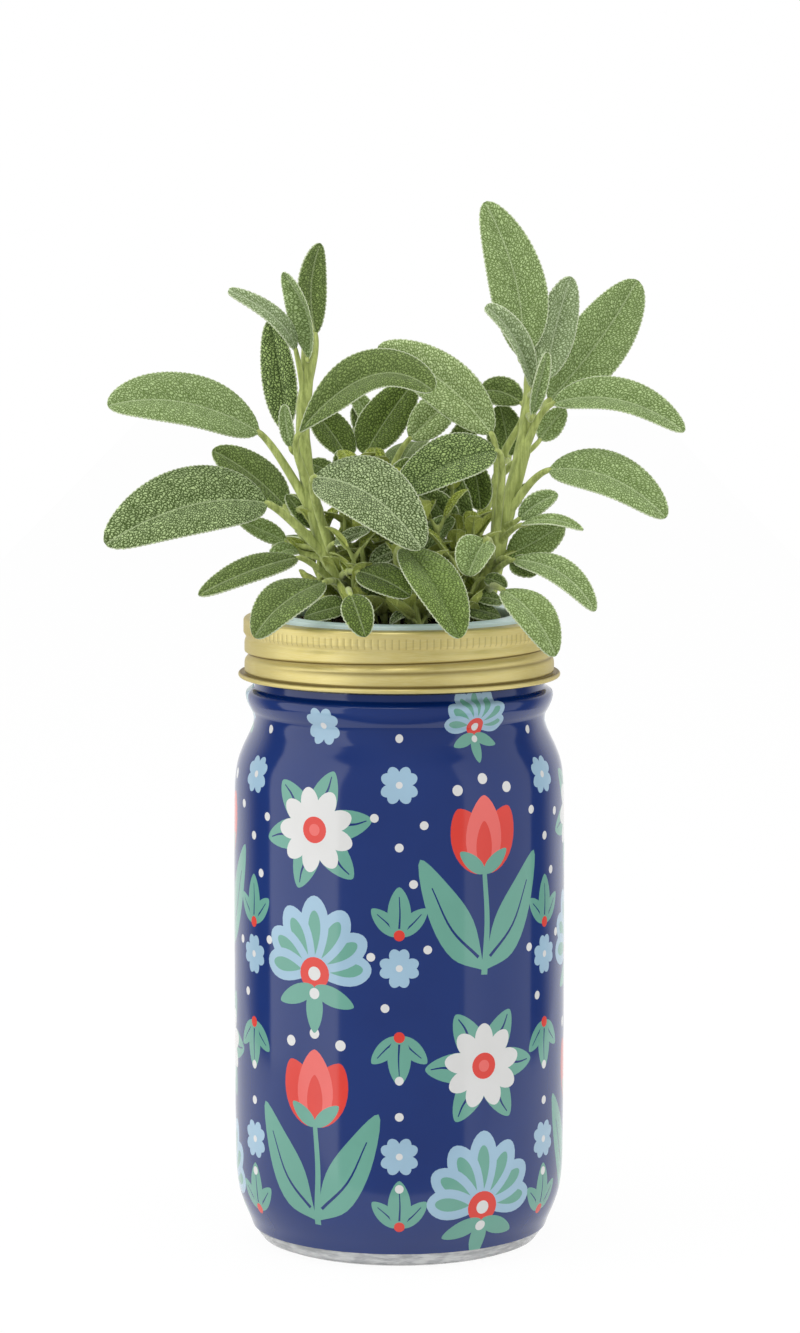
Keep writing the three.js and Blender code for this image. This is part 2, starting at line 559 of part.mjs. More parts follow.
// Behind
leaf('right_rear_top', 'rear_right', 0.98, [34.5, 24, 61], [28.5, 28, 64.5], [23, 30, 64],
  9, [-0.2, -0.9, 0.4]);
leaf('right_rear_mid', 'rear_right', 0.93, [31, 25, 47], [30, 28.5, 52], [28.5, 31, 57.5],
  9, [-0.3, -0.95, 0.1]);
leaf('right_rear_low', 'rear_right', 0.86, [40, 14, 49.5], [43.5, 18, 53], [48, 20, 57.5],
  8, [0.3, -0.9, 0.3]);
leaf('rear_mid', 'back', 0.77, [-2, 26, 37.5], [2, 40, 44.5], [5, 52, 46.5], 13, [0, 0.5, 0.85]);
leaf('rear_left', 'back', 0.59, [-10, 26, 29.5], [-17, 40, 34.5], [-24, 52, 31.5], 14, [-0.2, 0.5, 0.85]);
leaf('rear_right', 'rear_right', 0.62, [23, 27, 28.5], [28, 40, 33.5], [33, 52, 30.5],
  14, [0.2, 0.5, 0.85]);
leaf('rear_low_left', 'rear_left', 0.51, [-19, 24, 18.5], [-27, 34, 20.5], [-36, 44, 16.5],
  11, [-0.3, 0.4, 0.85]);

export default group;
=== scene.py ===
# Looks of a herb garden jar: printed glass jar, gold screw band, wick cup and a sage plant.
# Metres, Z up, front to -Y. Piece settings are in millimetres.
import math
import random

import bpy
import numpy as np
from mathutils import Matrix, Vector, geometry, noise


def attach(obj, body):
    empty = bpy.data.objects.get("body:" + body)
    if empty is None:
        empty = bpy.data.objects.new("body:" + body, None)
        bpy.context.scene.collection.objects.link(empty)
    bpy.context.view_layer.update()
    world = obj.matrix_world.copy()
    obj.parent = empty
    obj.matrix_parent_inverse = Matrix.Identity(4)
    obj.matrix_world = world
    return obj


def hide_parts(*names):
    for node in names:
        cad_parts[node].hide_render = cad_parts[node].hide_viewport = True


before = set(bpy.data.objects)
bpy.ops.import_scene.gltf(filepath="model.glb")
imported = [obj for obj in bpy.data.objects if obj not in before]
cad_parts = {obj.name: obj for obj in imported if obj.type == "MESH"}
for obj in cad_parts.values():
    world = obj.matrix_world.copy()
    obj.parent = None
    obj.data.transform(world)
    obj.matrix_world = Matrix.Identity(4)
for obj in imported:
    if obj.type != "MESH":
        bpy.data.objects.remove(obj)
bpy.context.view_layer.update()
mm = 0.001
scene = bpy.context.scene
scene.view_settings.view_transform = "Standard"


def addObject(name, data):
    added = bpy.data.objects.new(name, data)
    scene.collection.objects.link(added)
    return added


# camera
shot = {"place": (0.0002, -1.25, 0.30395), "tiltDown": 6.49, "lens": 121.8, "film": 36}
lens = bpy.data.cameras.new("camera")
lens.lens = shot["lens"]
lens.sensor_width = shot["film"]
lens.clip_start = 0.01
eye = addObject("camera", lens)
eye.location = shot["place"]
eye.rotation_euler = (math.radians(90 - shot["tiltDown"]), 0, 0)
scene.camera = eye
print("camera set")


class Wire:  # one socket, with arithmetic
    def __init__(self, graph, socket):
        self.graph = graph
        self.socket = socket

    def out(self, name):  # another output of the same node
        return Wire(self.graph, self.socket.node.outputs[name])

    def maths(self, operation, *terms):
        return self.graph.node("ShaderNodeMath", {"operation": operation}, dict(enumerate(terms)))

    def __add__(self, other):
        return self.maths("ADD", self, other)

    def __sub__(self, other):
        return self.maths("SUBTRACT", self, other)

    def __rsub__(self, other):
        return self.maths("SUBTRACT", other, self)

    def __mul__(self, other):
        return self.maths("MULTIPLY", self, other)

    def __gt__(self, other):
        return self.maths("GREATER_THAN", self, other)

    def __abs__(self):
        return self.maths("ABSOLUTE", self)

    __radd__ = __add__
    __rmul__ = __mul__


class Graph:  # a node tree being wired
    def __init__(self, tree):
        self.tree = tree

    def node(self, kind, settings=None, inputs=None, out=0):
        made = self.tree.nodes.new(kind)
        for name, value in (settings or {}).items():
            setattr(made, name, value)
        for name, value in (inputs or {}).items():
            if isinstance(value, Wire):
                self.tree.links.new(value.socket, made.inputs[name])
            else:
                made.inputs[name].default_value = value
        return Wire(self, made.outputs[out])

    def mix(self, share, first, second):
        return self.node("ShaderNodeMix", {"data_type": "RGBA"}, {0: share, 6: first, 7: second}, 2)

    def smooth(self, value, low, high):
        return self.node("ShaderNodeMapRange", {"interpolation_type": "SMOOTHSTEP"},
                         {"Value": value, "From Min": low, "From Max": high})

    def grain(self, at, scale, detail=2.0, rough=0.5):
        return self.node("ShaderNodeTexNoise", {}, {
            "Vector": at, "Scale": scale, "Detail": detail, "Roughness": rough})

    def stretched(self, at, scale):
        return self.node("ShaderNodeMapping", {}, {"Vector": at, "Scale": scale})

    def parts(self, vector):  # X, with Y and Z as other outputs
        return self.node("ShaderNodeSeparateXYZ", {}, {"Vector": vector})

    def field(self, name):  # vector kept on the points of a mesh
        return self.node("ShaderNodeAttribute", {"attribute_name": name}, out="Vector")

    def cells(self, feature, inputs, space="3D", out=0):
        settings = {"feature": feature, "voronoi_dimensions": space}
        return self.node("ShaderNodeTexVoronoi", settings, inputs, out)

    def here(self):  # place on the piece, in metres
        return self.node("ShaderNodeTexCoord", out="Object")


class Finish(Graph):  # a material on one Principled shader
    def __init__(self, name, fixed):
        self.material = bpy.data.materials.new(name)
        self.material.use_nodes = True
        super().__init__(self.material.node_tree)
        self.shader = self.tree.nodes["Principled BSDF"]
        for label, value in fixed.items():
            self.shader.inputs[label].default_value = value

    def feed(self, label, wire):
        self.tree.links.new(wire.socket, self.shader.inputs[label])

    def bump(self, height, strength, depth):
        self.feed("Normal", self.node("ShaderNodeBump", {}, {
            "Strength": strength, "Distance": depth, "Height": height}))

    def dress(self, tint, rough, height, strength, depth):
        self.feed("Base Color", tint)
        self.feed("Roughness", rough)
        self.bump(height, strength, depth)
        return self


def paint(red, green, blue):  # screen colour to linear
    def linear(value):
        value /= 255
        return value / 12.92 if value <= 0.04045 else ((value + 0.055) / 1.055) ** 2.4
    return (linear(red), linear(green), linear(blue), 1)


def makePiece(name, points, faces, finishes, body, replaced=(), finishOf=None, fields=None):
    mesh = bpy.data.meshes.new(name)
    mesh.from_pydata((np.asarray(points, float) * mm).tolist(), [], faces)
    for finish in finishes:
        mesh.materials.append(finish.material)
    if finishOf is not None:
        mesh.polygons.foreach_set("material_index", list(finishOf))
    mesh.polygons.foreach_set("use_smooth", [True] * len(mesh.polygons))
    for label, values in (fields or {}).items():
        field = mesh.attributes.new(label, "FLOAT_VECTOR", "POINT")
        field.data.foreach_set("vector", np.asarray(values, np.float32).ravel())
    mesh.update()
    piece = addObject(name, mesh)
    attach(piece, body)
    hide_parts(*replaced)
    return piece


def gridFaces(rows, columns, closedRows=False, closedColumns=False, first=0):
    faces = []
    for i in range(rows if closedRows else rows - 1):
        low, high = i * columns, (i + 1) % rows * columns
        for j in range(columns if closedColumns else columns - 1):
            k = (j + 1) % columns
            faces.append((first + low + j, first + low + k, first + high + k, first + high + j))
    return faces


def gridRim(rows, columns):  # edges round an open grid
    last = (rows - 1) * columns
    rim = [(i * columns, (i + 1) * columns) for i in range(rows - 1)]
    rim += [(last + j, last + j + 1) for j in range(columns - 1)]
    rim += [((i + 2) * columns - 1, (i + 1) * columns - 1) for i in range(rows - 1)]
    return rim + [(j + 1, j) for j in range(columns - 1)]


def alongLine(points, share):  # place on a centripetal Catmull-Rom line, as the solids use
    place = (len(points) - 1) * share
    i = min(int(place + 1e-9), len(points) - 2)
    w = place - i
    b, c = points[i], points[i + 1]
    a = points[i - 1] if i > 0 else 2 * b - c
    d = points[i + 2] if i + 2 < len(points) else 2 * c - b
    ab, bc, cd = (max(math.sqrt(np.linalg.norm(q - p)), 1e-3) for p, q in ((a, b), (b, c), (c, d)))
    m1 = ((b - a) / ab - (c - a) / (ab + bc) + (c - b) / bc) * bc
    m2 = ((c - b) / bc - (d - b) / (bc + cd) + (d - c) / cd) * bc
    return b + m1 * w + (3 * (c - b) - 2 * m1 - m2) * w * w + (2 * (b - c) + m1 + m2) * w ** 3


def smoothLine(points, spans):
    points = [np.array(p, float) for p in points]
    count = (len(points) - 1) * spans
    return np.array([alongLine(points, k / count) for k in range(count + 1)])


def unit(v):
    return v / np.maximum(np.linalg.norm(v, axis=-1, keepdims=True), 1e-9)


def sideways(line):  # outward normals of a profile that runs upward
    along = unit(np.gradient(line, axis=0))
    return np.column_stack([along[:, 1], -along[:, 0]])


def arc(x, z, radius, start, end, steps):  # (radius, height) points round a corner
    return [(x + radius * math.cos(a), z + radius * math.sin(a)) for a in np.linspace(start, end, steps)]


def ringAngles(sides):
    return np.arange(sides) / sides * 2 * math.pi


def turned(outline, sides, relief=None):  # closed ring of a closed outline (radius, height)
    outline = np.asarray(outline, float)
    angles = ringAngles(sides)
    radius = np.repeat(outline[:, :1], sides, axis=1)
    if relief is not None:
        radius = radius + relief(angles[None, :], outline)
    points = np.stack([radius * np.cos(angles), radius * np.sin(angles),
                       np.repeat(outline[:, 1:], sides, axis=1)], axis=-1).reshape(-1, 3)
    return points, gridFaces(len(outline), sides, closedRows=True, closedColumns=True)


def tube(path, radii, sides=10, first=0, ridge=0):  # closed bar along a path, with four low ridges
    path = np.asarray(path, float)
    along = unit(np.gradient(path, axis=0))
    side = np.cross(along[0], (0.3, 0.8, 0.52))  # any way that no bar runs
    points = []
    for place, grain, radius in zip(path, along, np.broadcast_to(radii, len(path))):
        side = unit(side - grain * side.dot(grain))
        other = np.cross(grain, side)
        for angle in ringAngles(sides):
            reach = radius * (1 + ridge * math.cos(4 * angle))
            points.append(place + reach * (math.cos(angle) * side + math.sin(angle) * other))
    faces = gridFaces(len(path), sides, closedColumns=True, first=first)
    last = first + (len(path) - 1) * sides
    faces.append(tuple(range(first, first + sides))[::-1])
    faces.append(tuple(range(last, last + sides)))
    return points, faces


def fade(value, low, high):  # smoothstep on arrays
    share = np.clip((value - low) / (high - low), 0, 1)
    return share * share * (3 - 2 * share)


# glass jar
jar = {
    "bodyR": 45.55, "rimZ": 172, "neckR": 39.7, "beadZ": 153.7, "beadH": 5.9, "beadOut": 2.65,
    "heelStep": 9.35, "heelH": 26, "shoulderZ": 126, "shoulderH": 21.8, "wall": 3.4, "neckWall": 3,
    "floorZ": 7, "axisR": 0.05, "neckRings": 40, "lipRound": 0.7, "sides": 160,
    "threadLead": 5.08, "threadH": 1.5, "threadZ": 167.8, "threadHalf": 0.85,
    "threadStart": (0.08, 0.16), "threadEnd": (1.02, 1.12),  # in turns
    "stippleZ": 5.5, "stippleR": 36.1,
}


def jarSide():  # outer line of the glass from heel to neck
    heel = [(jar["bodyR"] - jar["heelStep"] * inset, jar["heelH"] * up) for inset, up in (
        (0.743, 0.035), (0.551, 0.131), (0.422, 0.254), (0.262, 0.385), (0.102, 0.558), (0.027, 0.75),
        (0, 1))]
    step = jar["bodyR"] - jar["neckR"]
    shoulder = [(jar["bodyR"] - step * inset, jar["shoulderZ"] + jar["shoulderH"] * up) for inset, up in (
        (0, 0), (0.04, 0.23), (0.16, 0.436), (0.385, 0.606), (0.675, 0.77), (0.88, 0.9))]
    bead = [(jar["neckR"] + jar["beadOut"] * out, jar["beadZ"] + jar["beadH"] * up) for out, up in (
        (0.15, -1), (0.28, -0.7), (0.56, -0.49), (0.86, -0.2), (0.99, 0.02), (0.96, 0.2), (0.68, 0.31),
        (0.34, 0.4), (0.2, 0.49), (0.16, 0.6), (0.11, 0.8))]
    return smoothLine(heel + shoulder + bead, 5)


def glassOutline():  # from the middle of the underside, up the outside and down the inside to the floor
    neckR, rimZ, floorZ, lip = jar["neckR"], jar["rimZ"], jar["floorZ"], jar["lipRound"]
    innerNeck, innerBody = neckR - jar["neckWall"], jar["bodyR"] - jar["wall"]
    under = smoothLine([(jar["axisR"], 2.2), (12, 2.1), (27, 1.76), (31, 0), (36.2, 0)], 3)
    neck = [(neckR, z) for z in np.linspace(160.4, rimZ - lip, jar["neckRings"])]
    rim = [(neckR - 0.2, rimZ - 0.2), (neckR - lip, rimZ)]
    inside = smoothLine([
        (innerNeck + 0.6, rimZ), (innerNeck, rimZ - 0.8), (innerNeck, 160), (innerNeck, 150),
        (innerBody - 3.3, 141.3), (innerBody - 0.9, 135.5), (innerBody, jar["shoulderZ"]), (innerBody, 80),
        (innerBody, jar["heelH"]), (innerBody - 1.4, 16), (innerBody - 5, floorZ + 1.6),
        (30, floorZ), (12, floorZ), (jar["axisR"], floorZ)], 4)
    return np.vstack([under, sideLine, neck, rim, inside])


def neckThread(angles, outline):  # one helical ridge outside the neck
    turn = angles / (2 * math.pi)
    ridge = np.zeros((len(outline), angles.shape[1]))
    for lap in (0, 1):
        place = turn + lap
        middle = jar["threadZ"] + jar["threadLead"] * (place - 0.5)
        ends = fade(place, *jar["threadStart"]) * (1 - fade(place, *jar["threadEnd"]))
        ridge = np.maximum(ridge, ends * np.exp(-((outline[:, 1:] - middle) / jar["threadHalf"]) ** 2))
    outside = (outline[:, :1] > jar["neckR"] - 0.05) & (outline[:, 1:] > jar["beadZ"] + jar["beadH"])
    return ridge * jar["threadH"] * outside


def glassFinish():
    glass = Finish("clear_glass", {
        "Base Color": (0.89, 0.9, 0.9, 1), "Transmission Weight": 1, "IOR": 1.5, "Roughness": 0.0})
    glass.bump(glass.grain(glass.here(), 60, 1), 0.14, 0.0006)
    return glass


def heelFinish():  # stippled glass under the film's hem
    heel = Finish("heel_glass", {"Transmission Weight": 0.55, "IOR": 1.5})
    streak = heel.grain(heel.stretched(heel.here(), (1, 1, 4)), 200, 3)
    tint = heel.mix(heel.smooth(streak, 0.35, 0.65), paint(196, 199, 200), paint(246, 247, 247))
    return heel.dress(tint, 0.1 + 0.2 * streak, streak, 0.3, 0.0006)


sideLine = jarSide()
points, faces = turned(glassOutline(), jar["sides"], neckThread)
stippled = [int(min(math.hypot(*points[k][:2]) for k in face) > jar["stippleR"]
                and max(points[k][2] for k in face) < jar["stippleZ"]) for face in faces]
makePiece("jar_glass", points, faces, [glassFinish(), heelFinish()], "jar", ["glass_jar"],
          stippled)
print("glass jar made")

# printed sleeve: one film, its generic flower print cut into the surface as faces
film = {
    "gap": 0.15, "thick": 0.35, "hemZ": 4.6, "faceR": 46.05, "columns": 6, "cell": 3.0,
    "heelRows": (26, 1.5), "shoulderRows": (118, 0.8), "neckRows": (12, 0.4),  # finer rows: place, step
}
inkTones = {  # two tones that cloud into each other
    "navy": (paint(11, 42, 104), paint(9, 39, 100)),
    "mint": (paint(99, 154, 138), paint(94, 148, 132)),
    "sky": (paint(148, 178, 198), paint(142, 171, 190)),
    "white": (paint(205, 205, 204), paint(200, 200, 198)),
    "red": (paint(206, 56, 45), paint(200, 52, 41)),
    "rose": (paint(218, 98, 92), paint(212, 92, 86)),
    "backing": (paint(205, 205, 204), paint(200, 200, 198)),
}
inks = list(inkTones)


def petal(length, width, lean=0.85, blunt=0.6, steps=15):  # teardrop from the origin upward
    right = []
    for t in (1 - np.cos(np.linspace(0, math.pi, steps))) / 2:
        right.append((width / 2 * max(math.sin(math.pi * t ** lean), 0) ** blunt, length * t))
    left = [(-x, y) for x, y in right[-2:0:-1]]
    return np.array(right + left)


def roundPetal(length, width):
    return petal(length, width, 1.5, 0.5)


def disk(radius, steps=18):
    return np.array([(radius * math.cos(a), radius * math.sin(a)) for a in ringAngles(steps)])


def stroke(points, start, end):  # tapered line
    line = smoothLine(points, 5)
    along = unit(np.gradient(line, axis=0))
    half = np.linspace(start, end, len(line))[:, None] / 2
    across = np.column_stack([-along[:, 1], along[:, 0]]) * half
    return np.vstack([line + across, (line - across)[::-1]])


def spun(shape, degrees, place=(0, 0), scale=1.0):
    a = math.radians(degrees)
    turnBy = np.array([(math.cos(a), -math.sin(a)), (math.sin(a), math.cos(a))])
    return np.asarray(shape) @ turnBy.T * scale + place


def tulip():
    shapes = [("mint", stroke([(0, -23), (0.8, -10), (0, 3)], 1.7, 1.2))]
    for side in ((-1, 1), (1, 1)):
        blade = np.array([(0, -22), (8.5, -18.5), (14.5, -8), (16.5, 6), (9, -1), (3, -9.5)]) * side
        vein = np.array([(1.6, -18.6), (8.6, -11.5), (13.6, -1)]) * side
        shapes.append(("mint", smoothLine(np.vstack([blade, blade[:1]]), 5)[:-1]))
        shapes.append(("navy", stroke(vein, 0.8, 0.3)))
    shapes += [("red", spun(petal(17.5, 10.5), lean, (0, 2))) for lean in (-24, 24)]
    shapes.append(("rose", spun(petal(19, 10), 0, (0, 2))))
    shapes.append(("red", spun(petal(11.5, 4.4), 0, (0, 3.2))))
    shapes += [("mint", spun(petal(8.5, 3.6), lean, (0, 2))) for lean in (-50, 50)]
    return shapes + [("white", disk(1.35) + spot) for spot in ((-7, 22.5), (0, 25), (7, 22.5))]


def palmette():
    shapes = []
    for i in range(7):
        lean = -84 + 28 * i
        size = 17.5 - abs(i - 3) * 1.2
        shapes.append(("sky", spun(roundPetal(size, 7.4), lean)))
        shapes.append(("mint", spun(roundPetal(size * 0.6, 3.2), lean, spun([(0, 3.6)], lean)[0])))
    shapes.append(("red", disk(3.8, 24) + (0, -0.4)))
    shapes.append(("white", disk(1.6) + (0, -0.4)))
    shapes += [("mint", spun(petal(10.5, 4.4), lean, (0, -3.6))) for lean in (-112, 112, 180)]
    return shapes + [("white", disk(1.3) + (0, -5))]


def daisy():
    shapes = []
    for i in range(6):
        shapes.append(("mint", spun(petal(14.5, 7.2), 60 * i + 30)))
        shapes.append(("navy", spun(stroke([(0, 8), (0.3, 10.5), (0, 13.2)], 0.7, 0.25), 60 * i + 30)))
    shapes += [("white", spun(roundPetal(10, 4.8), 40 * i)) for i in range(9)]
    return shapes + [("red", disk(3.1, 24)), ("rose", disk(1.4))]


def clover():
    shapes = []
    for i in range(4):
        shapes += [("sky", spun(roundPetal(5.8, 3.5), 90 * i + 45 + lean)) for lean in (-18, 18)]
    return shapes + [("white", disk(1.0))]


def trio():
    shapes = []
    for lean, size in ((-46, 11), (46, 11), (0, 14)):
        shapes.append(("mint", spun(petal(size, size * 0.48), lean)))
        shapes.append(("navy", spun(stroke([(0, 2), (0.2, size * 0.45), (0, size * 0.8)], 0.6, 0.25), lean)))
    return shapes + [("red", disk(1.6))]


def printShapes(wide):  # half-drop repeat round the jar
    pitch = wide / film["columns"]
    rows = (  # motif, height, lean, size
        [(tulip, 34, 0, 1.12), (palmette, 79, 0, 1.2), (daisy, 118, 12, 1.18), (clover, 147, 0, 1.0)],
        [(palmette, 14, 0, 1.2), (daisy, 53, 0, 1.18), (tulip, 104, 0, 1.12), (palmette, 147, 0, 0.75)],
    )
    between = ((trio, 9, 0), (clover, 29, 0), (trio, 62, 180), (clover, 81, 45), (trio, 90, 0),
               (clover, 131, 0))  # motif, height, lean
    dots = ((0.5, 40), (0.5, 50), (0.42, 70), (0.58, 104), (0.5, 114), (0.36, 122), (0.64, 120), (0.5, 144),
            (0.5, 20), (0.34, 84), (0.66, 86))  # share of the pitch, height
    shapes = []
    for column in range(-1, film["columns"] + 1):
        middle = (column + 0.5) * pitch
        placed = [(motif(), spot, middle, lean, size) for motif, spot, lean, size in rows[column % 2]]
        placed += [(motif(), spot, middle + pitch / 2, lean, 0.95) for motif, spot, lean in between]
        for motif, spot, at, lean, size in placed:
            shapes += [(ink, spun(shape, lean, (at, spot), size)) for ink, shape in motif]
        shapes += [("white", disk(1.2) + (middle + share * pitch, spot)) for share, spot in dots]
    return shapes


def inkFinish(name):
    ink = Finish("film_" + name, {"IOR": 1.5, "Specular IOR Level": 0.58})
    at = ink.here()
    tint = ink.mix(ink.smooth(ink.grain(at, 45, 3), 0.3, 0.75), *inkTones[name])
    return ink.dress(tint, 0.09 + 0.05 * ink.grain(at, 220, 2), ink.grain(at, 120, 2), 0.02, 0.0002)


def filmLines():  # outer and inner line of the film, their normals, and the length along the outer one
    line = sideLine[sideLine[:, 1] > film["hemZ"] - 0.3]
    line[0] = (np.interp(film["hemZ"], sideLine[:, 1], sideLine[:, 0]), film["hemZ"])
    normals = sideways(line)
    outer = line + normals * (film["gap"] + film["thick"])
    inner = line + normals * film["gap"]
    run = np.concatenate([[0], np.cumsum(np.linalg.norm(np.diff(outer, axis=0), axis=1))])
    return outer, inner, normals, run


def filmRows(tall):  # closer together where the glass curves
    (heel, heelStep), (shoulder, shoulderStep) = film["heelRows"], film["shoulderRows"]
    neck, neckStep = tall - film["neckRows"][0], film["neckRows"][1]
    rows = np.unique(np.concatenate([
        np.arange(0, heel, heelStep), np.arange(heel, shoulder, film["cell"]),
        np.arange(shoulder, neck, shoulderStep), np.arange(neck, tall, neckStep), [tall]]))
    rows = rows[np.concatenate([[True], np.diff(rows) > 0.2])]
    rows[-1] = tall
    return rows


def cutFilm(wide, tall):  # the flat film cut along each motif: places, and faces with their ink
    xs = np.linspace(0, wide, round(wide / film["cell"]) + 1)
    rows = filmRows(tall)
    coords = [(x, 0) for x in xs] + [(wide, y) for y in rows[1:]]
    coords += [(x, tall) for x in xs[-2::-1]] + [(0, y) for y in rows[-2:0:-1]]
    loops, owner = [list(range(len(coords)))], ["navy"]
    coords += [(x, y) for y in rows[1:-1] for x in xs[1:-1]]
    for ink, shape in printShapes(wide):
        x, y = shape.T
        if x.max() < 0.05 or x.min() > wide - 0.05:
            continue
        if np.dot(x, np.roll(y, -1)) < np.dot(y, np.roll(x, -1)):  # every outline runs the same way round
            shape = shape[::-1]
        loops.append(list(range(len(coords), len(coords) + len(shape))))
        coords += [tuple(p) for p in shape]
        owner.append(ink)
    flat, _, faces, _, _, origin = geometry.delaunay_2d_cdt(
        [Vector(p) for p in coords], [], loops, 1, 1e-4, True)
    cut = [(face, owner[max(source)]) for face, source in zip(faces, origin) if 0 in source]
    return np.array([tuple(p) for p in flat]), cut


def wrapFilm():
    outer, inner, normals, run = filmLines()
    flat, cut = cutFilm(2 * math.pi * film["faceR"], run[-1])
    angle = flat[:, 0] / film["faceR"] + math.pi / 2  # seam at the back
    height = np.clip(flat[:, 1], 0, run[-1])

    def onJar(line):  # a line's values at each place, turned about the jar's axis
        reach, rise = (np.interp(height, run, line[:, k]) for k in (0, 1))
        return np.column_stack([reach * np.cos(angle), reach * np.sin(angle), rise])

    front, rear, ways = onJar(outer), onJar(inner), onJar(normals)
    numbers, numberOf, kept = {}, {}, []
    for v in sorted({v for face, _ in cut for v in face}):  # seam points meet
        key = tuple(np.round(front[v], 3))
        if key not in numbers:
            numbers[key] = len(kept)
            kept.append(v)
        numberOf[v] = numbers[key]
    faces, inkOf = [], []
    for face, ink in cut:
        ring = tuple(numberOf[v] for v in face)
        if len(set(ring)) > 2:
            faces.append(ring)
            inkOf.append(inks.index(ink))
    printed, count = len(faces), len(kept)
    edges = dict.fromkeys(edge for ring in faces for edge in zip(ring, ring[1:] + ring[:1]))
    faces += [tuple(k + count for k in ring[::-1]) for ring in faces]
    faces += [(b, a, a + count, b + count) for a, b in edges if (b, a) not in edges]  # hem and top edge
    inkOf += [inks.index("backing")] * (len(faces) - printed)
    return np.vstack([front[kept], rear[kept]]), faces, inkOf, np.vstack([ways[kept], -ways[kept]])


points, faces, inkOf, ways = wrapFilm()
sleeve = makePiece("sleeve_film", points, faces, [inkFinish(name) for name in inks], "jar",
                   ["printed_sleeve"], inkOf)
sleeve.data.normals_split_custom_set_from_vertices([tuple(n) for n in ways])
print("sleeve printed with", len(faces), "faces")

# screw band
band = {
    "r": 43.4, "top": 175.95, "bottom": 159.25, "mouthR": 38, "sheet": 0.45, "sides": 720, "round": 0.9,
    "curlR": 0.72, "curlOut": 1.5, "skirtIn": 0.25, "waistZ": 170.55, "waistIn": 0.42, "waistHalf": 0.95,
    "skirtFoot": (161.0, 161.7), "skirtHead": (169.4, 170.2), "footShadow": 0.95,
    "ticks": 144, "tickDepth": 0.14, "tickFoot": (170.9, 171.4), "tickHead": (173.6, 174.2),
}
creases = [  # the rolled thread, and its soft second start
    {"z": 165.75, "lead": 5.08, "start": (0.15, 0.3), "end": (1.15, 1.3), "depth": 1.2, "above": 0.4,
     "below": 1.15, "dark": 1, "shadeUp": 0.05, "shadeHalf": 0.3},
    {"z": 163.45, "lead": 3.4, "start": (0.55, 0.75), "end": (1.05, 1.2), "depth": 0.5, "above": 0.6,
     "below": 1.0, "dark": 0.6, "shadeUp": 0.1, "shadeHalf": 0.55},
]


def bandCreaseShade(angles, outline):  # depth of the creases, and their painted shade: a dark line along each crease and a painted shadow line above the curled foot
    z = outline[:, 1:]
    depth = np.zeros((len(outline), angles.shape[1]))
    # painted shadow line where the skirt meets the curled foot
    dark = band["footShadow"] * np.exp(-((z - band["bottom"] - 1.5) / 0.24) ** 2) + depth
    for lap in (0, 1):
        place = angles / (2 * math.pi) + lap
        for crease in creases:
            away = z - (crease["z"] + crease["lead"] * (place - 0.5))
            ends = fade(place, *crease["start"]) * (1 - fade(place, *crease["end"]))
            half = np.where(away > 0, crease["above"], crease["below"])
            depth = np.maximum(depth, crease["depth"] * ends * np.exp(-(away / half) ** 2))
            # painted shade along the crease
            line = np.exp(-((away - crease["shadeUp"]) / crease["shadeHalf"]) ** 2)
            dark = np.maximum(dark, crease["dark"] * ends * line)
    skirt = fade(z, *band["skirtFoot"]) * (1 - fade(z, *band["skirtHead"]))
    return depth * skirt, dark


def bandRelief(angles, outline):
    z = outline[:, 1:]
    wave = np.clip(np.cos(angles * band["ticks"]) - 0.6, 0, 1) / 0.4
    ticks = band["tickDepth"] * wave * fade(z, *band["tickFoot"]) * (1 - fade(z, *band["tickHead"]))
    return -(bandCreaseShade(angles, outline)[0] + ticks)


def bandOutline():  # curled foot, skirt, knurled top, lip, and back down inside
    r, top, low, t, c = band["r"], band["top"], band["bottom"], band["sheet"], band["curlR"]
    soft, mouth, skirt = band["round"], band["mouthR"], band["skirtIn"]
    line = arc(r + band["curlOut"] - c, low + c, c, -math.pi * 0.8, math.pi * 0.64, 18)
    line += [(r - 0.3, low + 1.35), (r - 0.55, low + 1.5), (r - 0.42, low + 1.75)]
    for z in np.arange(161.2, 171.6, 0.2):
        waist = band["waistIn"] * math.exp(-((z - band["waistZ"]) / band["waistHalf"]) ** 2)
        line.append((r - skirt - waist + skirt * float(fade(z, 170.4, 171.9)), z))
    line += [(r, z) for z in np.arange(171.8, 174.9, 0.34)]
    line += arc(r - soft, top - soft, soft, 0.15, math.pi / 2, 6)
    line += [(41, top), (39.5, top - 0.02), (mouth + 0.3, top - 0.05), (mouth, top - 0.2), (mouth, top - t)]
    r -= t  # inside of the sheet
    line += [(41, top - t), (r + t - soft, top - t - 0.02), (r - 0.1, top - soft - t), (r, 174), (r, 172),
             (r - 0.6, 171), (r - 0.7, 170.6), (r - 0.45, 170)]
    line += [(r - 0.3, z) for z in np.arange(169.4, 162, -0.6)]
    return np.array(line + [(r - 0.6, low + 2.2), (r - 0.6, low + 0.9), (r + t - 0.4, low + 0.45)])


